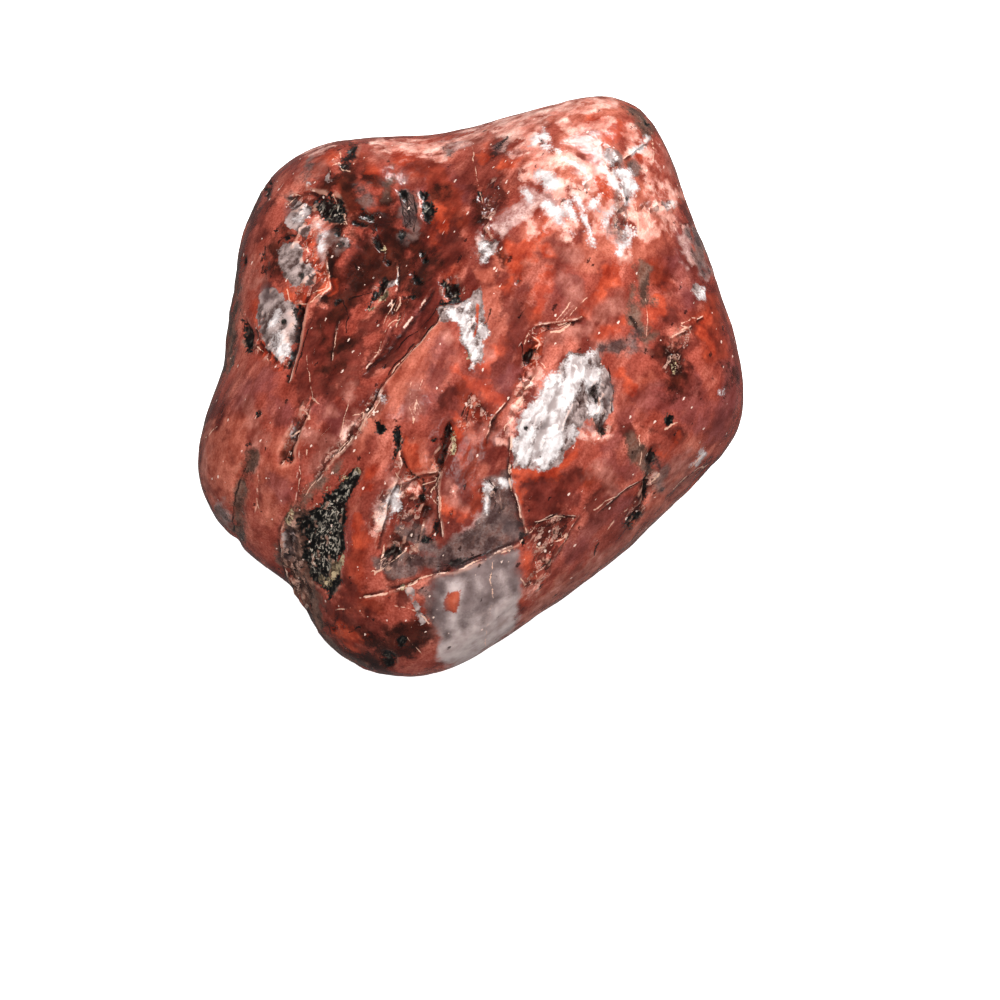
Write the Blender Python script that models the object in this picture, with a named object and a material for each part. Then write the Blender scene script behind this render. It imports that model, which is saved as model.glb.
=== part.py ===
"""A tumbled stone: a pebble of red feldspar with quartz and black mica, worn round and polished.

It grew as one piece, so it is one solid. Metres, +Z up, and it rests on its flat spot at z = 0.
Sizes are written in millimetres on the stone's own axes: across to the right, up the broad face,
and out of that face. The broad face leans a little forward.
"""

import math

import bmesh
import bpy
import numpy as np
from mathutils import Matrix

MM = 0.001

# Driving dimensions
FACE_LEAN = 12.0  # degrees that the broad face leans forward from lying level
REST_DEPTH = 13.3  # from the stone's middle straight down to its flat spot
ROUNDING = 4.2  # how hard the faces meet: 2 is an egg, 10 is a cut block
LEAST_WALL = 0.05  # the rim wall's least share, which keeps the outline smooth at the far corner
TURN_IN = 5.0  # how far past the rim, towards a side, that side's forms reach their full depth
LIP_START, LIP_WIDTH = 1.6, 1.2  # where a pocket's lip starts and how wide it is, in half widths
CELLS = 28  # cells along each side of the six patches that cover the stone

# The broad face's rim, (across, up) from the stone's middle, from the right corner downwards
RIM = [
    (22.1, -0.8), (21.8, -3.3), (20.1, -5.6), (17.6, -8.0), (14.6, -10.7), (12.1, -13.3),
    (8.0, -16.5), (3.7, -19.6), (0.2, -22.0), (-3.0, -23.4), (-6.6, -23.5), (-9.5, -22.3),
    (-11.8, -20.3), (-12.9, -18.2), (-14.2, -16.0), (-16.8, -14.2), (-18.9, -12.3),
    (-20.7, -10.5), (-21.6, -8.0), (-21.5, -4.8), (-20.9, -1.9), (-19.9, 0.6), (-19.6, 3.7),
    (-19.2, 7.4), (-18.8, 11.5), (-18.2, 14.4), (-17.4, 16.5), (-16.0, 18.3), (-14.2, 20.1),
    (-11.3, 21.0), (-7.2, 21.2), (-3.2, 21.4), (0.5, 22.3), (4.0, 22.8), (7.3, 23.3),
    (10.4, 24.3), (12.9, 24.5), (14.6, 23.3), (15.6, 20.0), (17.1, 16.1), (19.1, 11.0),
    (20.3, 7.0), (21.5, 3.0),
]

# The worn faces: (which way each looks: across, up, out), and how far its middle is from the stone's
FACES = {
    "broad face": ((0.02, 0.04, 1.0), 12.4),
    "upper left slope": ((-0.50, 0.42, 0.76), 18.0),
    "right slope": ((0.60, 0.05, 0.80), 18.2),
    "lower right slope": ((0.30, -0.60, 0.74), 18.4),
    "lower left slope": ((-0.46, -0.50, 0.74), 20.0),
    "top slope": ((0.20, 0.64, 0.74), 23.0),
    "back": ((0.0, -0.20, -1.0), 13.8),
    "back top": ((0.16, 0.60, -0.78), 20.8),
    "back left": ((-0.66, 0.08, -0.74), 18.0),
    "back right": ((0.66, 0.16, -0.74), 19.6),
    "back foot": ((0.10, -0.62, -0.78), 19.8),
}

# Worn hollows and swells: path of (across, up) points, half width, depth. A negative depth is a swell
FRONT_FORMS = {
    "long hollow": ([(-1.0, 19.4), (-5.0, 9.7), (-10.0, 2.9), (-18.5, -0.6)], 4.6, 1.5),
    "hollow's lower lip": ([(1.0, 10.0), (-2.6, 2.4), (-6.4, -3.2), (-10.0, -6.8)], 2.2, -0.5),
    "upper left swell": ([(-14.0, 15.5), (-10.0, 16.5)], 3.4, -0.5),
    "top right swell": ([(8.0, 12.3), (12.5, 17.6)], 5.0, -1.2),
    "right edge dip": ([(18.5, 15.0), (14.5, 7.5), (12.5, 1.5)], 2.6, 0.6),
    "right corner swell": ([(17.0, 1.6), (18.6, -3.2)], 3.0, -0.4),
    "middle swell": ([(3.0, -5.0), (6.0, 3.2)], 5.5, -0.6),
    "left lobe groove": ([(-19.2, -12.6), (-17.6, -9.0), (-14.8, -5.2)], 1.5, 0.7),
    "mica groove": ([(-13.2, -18.0), (-12.4, -14.4), (-9.4, -9.8)], 2.6, 0.9),
    "lower right crease": ([(21.0, -4.4), (18.0, -8.2), (14.2, -12.0), (10.0, -14.8)], 1.4, 0.5),
    "bottom swell": ([(-5.0, -20.6), (1.0, -18.4)], 4.2, -0.6),
}
BACK_FORMS = {
    "back hollow": ([(-8.0, 12.0), (-2.0, 8.0), (6.0, 7.0)], 4.6, 1.2),
    "back ridge": ([(-15.0, 4.0), (-11.0, -4.0), (-6.0, -13.0)], 3.6, -0.9),
    "back groove": ([(6.0, 18.0), (11.0, 9.0), (16.0, 2.0)], 1.8, 0.8),
    "back swell": ([(14.0, -3.0), (9.0, -8.0)], 4.4, -0.7),
    "resting swell": ([(-2.2, -1.5), (1.8, -1.3)], 6.0, -0.8),
}

# Pockets where softer grains wore out: as above, but with a level floor and a lip
FRONT_POCKETS = {
    "upper left pocket": ([(-12.8, 12.8), (-14.0, 7.6), (-14.6, 2.7)], 1.7, 0.35),
    "quartz pit": ([(10.4, -1.9), (10.9, -5.2)], 1.5, 0.5),
    "broken seam": ([(-5.6, -8.3), (-3.4, -13.6), (-6.4, -16.7)], 1.6, 0.35),
}
BACK_POCKETS = {
    "back mica pocket": ([(-11.0, 8.0), (-8.5, 5.0)], 2.0, 0.5),
    "back quartz pit": ([(6.0, -12.0), (9.0, -13.5)], 1.7, 0.45),
    "small back pit": ([(8.0, 12.0), (9.5, 10.5)], 1.6, 0.45),
}

RED_FELDSPAR = (0.42, 0.09, 0.055, 1.0)


def smooth_loop(points, steps=12):
    """A closed Catmull-Rom curve through the points, as an array of points."""
    knots = np.array(points, float)
    t = (np.arange(steps) / steps)[:, None]
    spans = []
    for i in range(len(knots)):
        before, a, b, after = (knots[(i + k) % len(knots)] for k in (-1, 0, 1, 2))
        spans.append(
            0.5
            * (
                2 * a
                + (b - before) * t
                + (2 * before - 5 * a + 4 * b - after) * t**2
                + (3 * a - before - 3 * b + after) * t**3
            )
        )
    return np.concatenate(spans)


def rim_radius(angles):
    """The rim's distance from the stone's middle, at these angles round the broad face."""
    curve = smooth_loop(RIM)
    at = np.arctan2(curve[:, 1], curve[:, 0])
    order = np.argsort(at)
    return np.interp(angles, at[order], np.hypot(curve[:, 0], curve[:, 1])[order], period=2 * math.pi)


def distance_to_path(points, path):
    """How far each (across, up) point is from the line through the path's points."""
    nearest = np.full(len(points), np.inf)
    for start, end in zip(path[:-1], path[1:]):
        a, b = np.array(start), np.array(end)
        along = ((points - a) @ (b - a) / ((b - a) @ (b - a))).clip(0, 1)
        nearest = np.minimum(nearest, np.linalg.norm(points - a - along[:, None] * (b - a), axis=1))
    return nearest


def face_limits(directions):
    """How hard all the worn faces together limit each direction, in summed powers."""
    total = np.zeros(len(directions))
    for facing, distance in FACES.values():
        normal = np.array(facing) / np.linalg.norm(facing)
        total += (directions @ normal / distance).clip(0) ** ROUNDING
    return total


def worn_body(directions):
    """Distance from the middle to the worn body's surface, along each direction.

    Each face, and the rim's wall, limits the distance. The limits are summed as powers, so they
    blend into one round surface. The wall adds just what the faces leave over at the rim.
    """
    angles = np.arctan2(directions[:, 1], directions[:, 0])
    rim = rim_radius(angles)
    outward = np.stack([np.cos(angles), np.sin(angles), np.zeros(len(angles))], 1)
    left_over = (1 - face_limits(outward * rim[:, None])).clip(LEAST_WALL)
    wall = left_over * (np.hypot(directions[:, 0], directions[:, 1]) / rim) ** ROUNDING
    return (wall + face_limits(directions)) ** (-1 / ROUNDING)


def smooth_step(values):
    """0 below 0, 1 above 1, and an S curve between."""
    t = values.clip(0, 1)
    return t * t * (3 - 2 * t)


def worn_surface(directions):
    """The stone's surface points, in millimetres on its own axes, for unit directions from its middle."""
    reach = worn_body(directions)
    body = directions * reach[:, None]
    sides = (
        (smooth_step(body[:, 2] / TURN_IN), FRONT_FORMS, FRONT_POCKETS),
        (smooth_step(-body[:, 2] / TURN_IN), BACK_FORMS, BACK_POCKETS),
    )
    for share, forms, pockets in sides:
        for path, half_width, depth in forms.values():
            off = distance_to_path(body[:, :2], path) / half_width
            reach -= share * depth * np.exp(-(off**2))
        for path, half_width, depth in pockets.values():
            off = distance_to_path(body[:, :2], path) / half_width
            reach -= share * depth * smooth_step((LIP_START - off) / LIP_WIDTH)
    return directions * reach[:, None]


def stone_axes():
    """The matrix from the stone's own axes to upright ones, with the flat spot at z = 0."""
    lean = Matrix.Rotation(math.radians(FACE_LEAN), 4, "X")
    return Matrix.Translation((0, 0, REST_DEPTH * MM)) @ lean


def ball_of_patches(mesh):
    """Six square patches of cells, bent to a unit ball: an even net with no poles."""
    bmesh.ops.create_cube(mesh, size=2.0)
    bmesh.ops.subdivide_edges(mesh, edges=mesh.edges[:], cuts=CELLS - 1, use_grid_fill=True)
    for vert in mesh.verts:
        # the tangent keeps the cells near the corners as wide as those in the middle
        for axis in range(3):
            vert.co[axis] = math.tan(vert.co[axis] * math.pi / 4)
        vert.co.normalize()


def cut_flat_spot(mesh):
    """Cuts off what lies below z = 0 and closes the cut with one level face."""
    cut = bmesh.ops.bisect_plane(
        mesh,
        geom=mesh.verts[:] + mesh.edges[:] + mesh.faces[:],
        plane_co=(0, 0, 0),
        plane_no=(0, 0, -1),
        clear_outer=True,
        dist=0.02 * MM,
    )
    loop = [item for item in cut["geom_cut"] if isinstance(item, bmesh.types.BMEdge)]
    bmesh.ops.contextual_create(mesh, geom=loop)


def stone_material():
    material = bpy.data.materials.new("red_feldspar")
    material.use_nodes = True
    shader = material.node_tree.nodes["Principled BSDF"]
    shader.inputs["Base Color"].default_value = RED_FELDSPAR
    shader.inputs["Roughness"].default_value = 0.22
    shader.inputs["Metallic"].default_value = 0.0
    return material


def make_stone():
    mesh = bmesh.new()
    ball_of_patches(mesh)
    places = worn_surface(np.array([vert.co for vert in mesh.verts]))
    for vert, place in zip(mesh.verts, places):
        vert.co = place * MM
    bmesh.ops.transform(mesh, matrix=stone_axes(), verts=mesh.verts)
    cut_flat_spot(mesh)
    bmesh.ops.recalc_face_normals(mesh, faces=mesh.faces)
    data = bpy.data.meshes.new("stone")
    mesh.to_mesh(data)
    mesh.free()
    data.shade_smooth()
    data.materials.append(stone_material())
    stone = bpy.data.objects.new("stone", data)
    bpy.context.scene.collection.objects.link(stone)
    return stone


def main():
    for old in list(bpy.data.objects):
        bpy.data.objects.remove(old)
    make_stone()


main()
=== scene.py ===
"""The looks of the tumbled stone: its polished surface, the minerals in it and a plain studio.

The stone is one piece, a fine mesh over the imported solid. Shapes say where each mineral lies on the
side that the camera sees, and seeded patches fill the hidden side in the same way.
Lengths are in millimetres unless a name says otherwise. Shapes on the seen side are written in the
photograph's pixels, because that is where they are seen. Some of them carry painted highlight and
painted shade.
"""

import math
from dataclasses import dataclass

import bpy
import numpy as np
from mathutils.bvhtree import BVHTree
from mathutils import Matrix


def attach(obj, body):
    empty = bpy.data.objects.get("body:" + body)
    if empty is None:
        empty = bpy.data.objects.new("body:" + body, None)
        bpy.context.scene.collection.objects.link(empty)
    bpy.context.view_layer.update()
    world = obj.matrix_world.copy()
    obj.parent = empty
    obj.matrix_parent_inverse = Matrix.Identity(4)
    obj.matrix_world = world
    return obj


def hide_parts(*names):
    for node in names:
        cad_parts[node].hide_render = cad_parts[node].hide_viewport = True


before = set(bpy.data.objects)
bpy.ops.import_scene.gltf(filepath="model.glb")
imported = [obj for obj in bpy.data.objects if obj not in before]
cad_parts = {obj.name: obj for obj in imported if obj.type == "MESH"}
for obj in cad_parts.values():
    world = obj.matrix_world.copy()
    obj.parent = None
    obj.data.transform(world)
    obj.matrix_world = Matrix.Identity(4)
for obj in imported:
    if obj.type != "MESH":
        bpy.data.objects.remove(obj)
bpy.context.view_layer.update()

MM = 0.001

# The camera, which also says where a pixel of the photograph lies on the stone
STONE_MIDDLE = np.array([0.0, 0.0, 13.3])
CAMERA_RISE = 64.0  # degrees above level
PIXELS = 1000
PIXEL = 0.08  # millimetres that a pixel covers at the stone's middle
LENS, SENSOR = 85.0, 36.0
AIM_RIGHT, AIM_UP = 2.4, -9.2  # from the stone's middle to the middle of the photograph
CAMERA_DISTANCE = PIXEL * PIXELS * LENS / SENSOR

rise = math.radians(CAMERA_RISE)
RIGHT = np.array([1.0, 0.0, 0.0])
UP = np.array([0.0, math.sin(rise), math.cos(rise)])
TOWARDS = np.array([0.0, -math.cos(rise), math.sin(rise)])

# The foliation: the way that most grains are drawn out, from lower left to upper right
GRAIN_WAY = 0.42 * RIGHT + 0.90 * UP + 0.1 * TOWARDS
GRAIN_WAY = GRAIN_WAY / np.linalg.norm(GRAIN_WAY)

# The mesh
CELLS = 128  # along each side of its six patches
CROWDING = 0.3  # how far its points crowd towards the camera
SMOOTHING = 70  # rounds that even out the solid's facets
MAP_MARGIN = 0.02  # of a patch's side, kept free round it on the map
LEDGE_WIDTH = 0.25  # how wide the face of a step in the surface is
LINE_REACH = 0.5  # how far from a line its place is still kept
FADE = 4  # how far a seen shape draws back on the hidden side, and a hidden one on the seen side

SEED = 71

# The hidden side
DRAWN_OUT = 2.2  # how much longer than wide its patches mostly are
HIDDEN_BREAKS = (9, 0.5, 1.3)  # its broken spots, and their least and most half width
HIDDEN_LEDGES = (16, 0.12, 0.3)  # its ledges, and their least and most drop
HIDDEN_START, HIDDEN_FADE = 0.10, 0.40  # how far it faces away where it starts, and how soon it is whole
HIDDEN_STRAY = 0.45  # how far its lines stray from the way of the grain
HIDDEN_BEND = 0.05  # how much they curve
HIDDEN_LENGTHS = (0.6, 3.0)  # half of its lines' least and most length

# Relief that noise makes: how high it is and how wide one cell of it is
WAVE_HEIGHT, WAVE_CELL = 0.07, 3.2  # soft waves over the whole stone
GRAIN_HEIGHT, GRAIN_CELL = 0.05, 1.3  # waves drawn out along the grain
CHIP_HEIGHT, CHIP_CELL = 0.12, 1.1  # flat chips where the surface is broken
SPLINTER_HEIGHT, SPLINTER_CELL = 0.07, 0.55  # splinters along the grain, in the same places
NEAR_ROUNDS, FAR_ROUNDS = 4, 60  # rounds of evening that tell what is proud and what lies deep

# The studio
AIR, AIR_STRENGTH = (1.0, 0.99, 0.98, 1.0), 0.11
REFLECTED_AWAY = 400  # from the stone to the lamps that only reflections show
SHADING_AWAY, SHADING_WIDTH = 500, 300  # the lamps that only shade it


def paint(red, green, blue):
    """A colour picked on a screen, 0 to 255, as Blender's linear colour."""
    parts = np.array([red, green, blue]) / 255
    low = parts / 12.92
    high = ((parts + 0.055) / 1.055) ** 2.4
    return (*np.where(parts <= 0.04045, low, high), 1.0)


# The feldspar under all the other layers
BRICK = paint(144, 62, 49)
DEEP_RED = paint(100, 36, 28)
ROSY = paint(176, 92, 76)

# What a streak or a grain in the feldspar multiplies its colour by
PALER = (1.40, 1.62, 1.66, 1.0)
DARKER = (0.66, 0.46, 0.40, 1.0)

# Details that are finer than the minerals
DARK_FLAKE = paint(34, 12, 10)
PALE_FLAKE = paint(240, 190, 170)
# Painted shadow at a ledge's foot and a painted highlight along its top
LEDGE_FOOT_SHADOW = paint(30, 10, 8)
LEDGE_TOP_HIGHLIGHT = paint(246, 206, 186)
# Painted shade where the surface lies deep, and pale ridges that are partly edge wear and partly painted
# highlight
HOLLOW_SHADE = paint(32, 10, 8)
RIDGE_WEAR_AND_HIGHLIGHT = paint(236, 176, 152)
# Painted shade in tiny pits
PIT_SHADE = paint(36, 11, 8)
# Painted glints of highlight
GLINT_HIGHLIGHT = paint(250, 218, 202)
NEEDLE = paint(246, 206, 188)


@dataclass
class Mineral:
    """How one mineral looks and wears, and how it is scattered over the hidden side."""

    dark: tuple
    light: tuple
    soft: float = 0.10  # half the width of its edge
    ragged: float = 0.2  # how far clouds of noise move its edge
    nibbled: float = 0.2  # how far fine noise moves it
    hides: float = 1.0  # how much it hides of what lies under it
    shade: str = "cloudy"  # what sets its light and dark parts
    gloss: float = 0.16  # roughness of its polish
    rise: float = 0.0  # how far it stands above the feldspar
    rubble: float = 0.0  # height of its own rough relief
    flaky: float = 0.0  # how far its flakes show, from 0 to 1
    hidden: tuple = (0, 1.0, 2.0)  # patches on the hidden side, and their least and most half width
    drawn_out: float = DRAWN_OUT  # how much longer than wide those patches are


# From the lowest layer to the top one. On the seen side the pale, lilac, haze and milky layers also carry
# painted highlight, and the umber and maroon layers some painted shade
FELDSPARS = {
    "salmon": Mineral(paint(152, 72, 56), paint(186, 101, 82), soft=0.5, ragged=1.0, hides=0.9,
                      hidden=(16, 1.6, 4.0)),
    "plum": Mineral(paint(92, 36, 36), paint(130, 64, 62), soft=0.6, ragged=0.9, hides=0.7,
                    hidden=(10, 1.0, 3.0)),
    "rust": Mineral(paint(92, 26, 12), paint(150, 54, 34), soft=0.4, ragged=0.6, nibbled=0.3,
                    hides=0.85),
    "maroon": Mineral(paint(64, 18, 13), paint(112, 42, 33), soft=0.4, ragged=0.9, hides=0.9,
                      hidden=(12, 1.0, 3.2)),
    "umber": Mineral(paint(16, 4, 2), paint(70, 24, 14), soft=0.5, ragged=0.8, hides=0.9,
                     hidden=(5, 0.6, 1.8)),
    "orange": Mineral(paint(140, 40, 20), paint(196, 80, 52), soft=0.35, ragged=0.8, hides=0.85,
                      hidden=(14, 0.6, 2.2)),
    "haze": Mineral(paint(130, 68, 58), paint(184, 114, 100), soft=0.5, ragged=0.8, hides=0.75,
                    hidden=(8, 0.8, 2.2)),
    "lilac": Mineral(paint(148, 100, 94), paint(228, 188, 180), soft=0.35, ragged=0.8, nibbled=0.5,
                     hides=0.8, shade="fibrous", hidden=(5, 0.4, 1.2), drawn_out=3.5),
    "pale": Mineral(paint(198, 112, 96), paint(246, 196, 182), soft=0.3, ragged=0.8, nibbled=0.5,
                    hides=0.9, hidden=(6, 0.2, 0.7), drawn_out=4.0),
    "olive": Mineral(paint(62, 38, 31), paint(126, 90, 78), soft=0.3, ragged=0.5, nibbled=0.4,
                     shade="fibrous", rise=-0.05, rubble=0.02, hidden=(8, 0.5, 1.6), drawn_out=3.5),
    "ashy": Mineral(paint(52, 37, 36), paint(130, 103, 98), soft=0.3, ragged=0.5, nibbled=0.3, hides=0.9,
                    shade="fibrous", hidden=(8, 0.6, 1.8)),
}
OTHERS = {
    "glassy": Mineral(paint(164, 142, 138), paint(216, 198, 194), soft=0.35, ragged=0.3, hides=0.95,
                      shade="calm", rise=0.02, hidden=(5, 1.2, 2.8)),
    "grey": Mineral(paint(76, 56, 52), paint(184, 162, 157), soft=0.08, ragged=0.4, rise=0.02,
                    rubble=0.06, hidden=(8, 0.8, 2.2)),
    "milky": Mineral(paint(170, 154, 151), paint(238, 231, 230), soft=0.25, ragged=0.45, nibbled=0.4,
                     rise=0.06, rubble=0.05, hidden=(7, 0.8, 2.0)),
    "inclusion": Mineral(paint(142, 52, 32), paint(188, 88, 62), soft=0.08, ragged=0.2, rise=0.03),
    "mica": Mineral(paint(3, 2, 2), paint(190, 178, 162), soft=0.05, ragged=0.4, nibbled=0.5,
                    shade="curly", gloss=0.32, rise=-0.2, rubble=0.10, flaky=0.5, hidden=(14, 0.3, 1.4)),
    "tan": Mineral(paint(62, 46, 32), paint(190, 166, 130), soft=0.05, ragged=0.4, nibbled=0.4,
                   shade="flaky", gloss=0.3, rise=-0.05, rubble=0.05, flaky=0.8, hidden=(6, 0.3, 0.8)),
    "smoky": Mineral(paint(66, 50, 50), paint(118, 96, 94), soft=0.6, ragged=0.3, hides=0.85,
                     shade="calm"),
}
MINERALS = FELDSPARS | OTHERS


@dataclass
class Line:
    """How one kind of line looks. A line's points are (x, y, half width)."""

    colour: tuple
    share: float = 0.9  # of the colour, where the line is whole
    broken: float = 0.5  # how much of it is missing
    hidden: tuple = (30, 0.05, 0.1)  # lines on the hidden side, and their least and most half width


LINES = {
    "crack": Line(paint(14, 5, 4), share=0.85, broken=0.45, hidden=(34, 0.05, 0.16)),
    "seam": Line(paint(240, 190, 164), share=0.7, broken=0.62, hidden=(44, 0.03, 0.06)),
}

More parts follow.
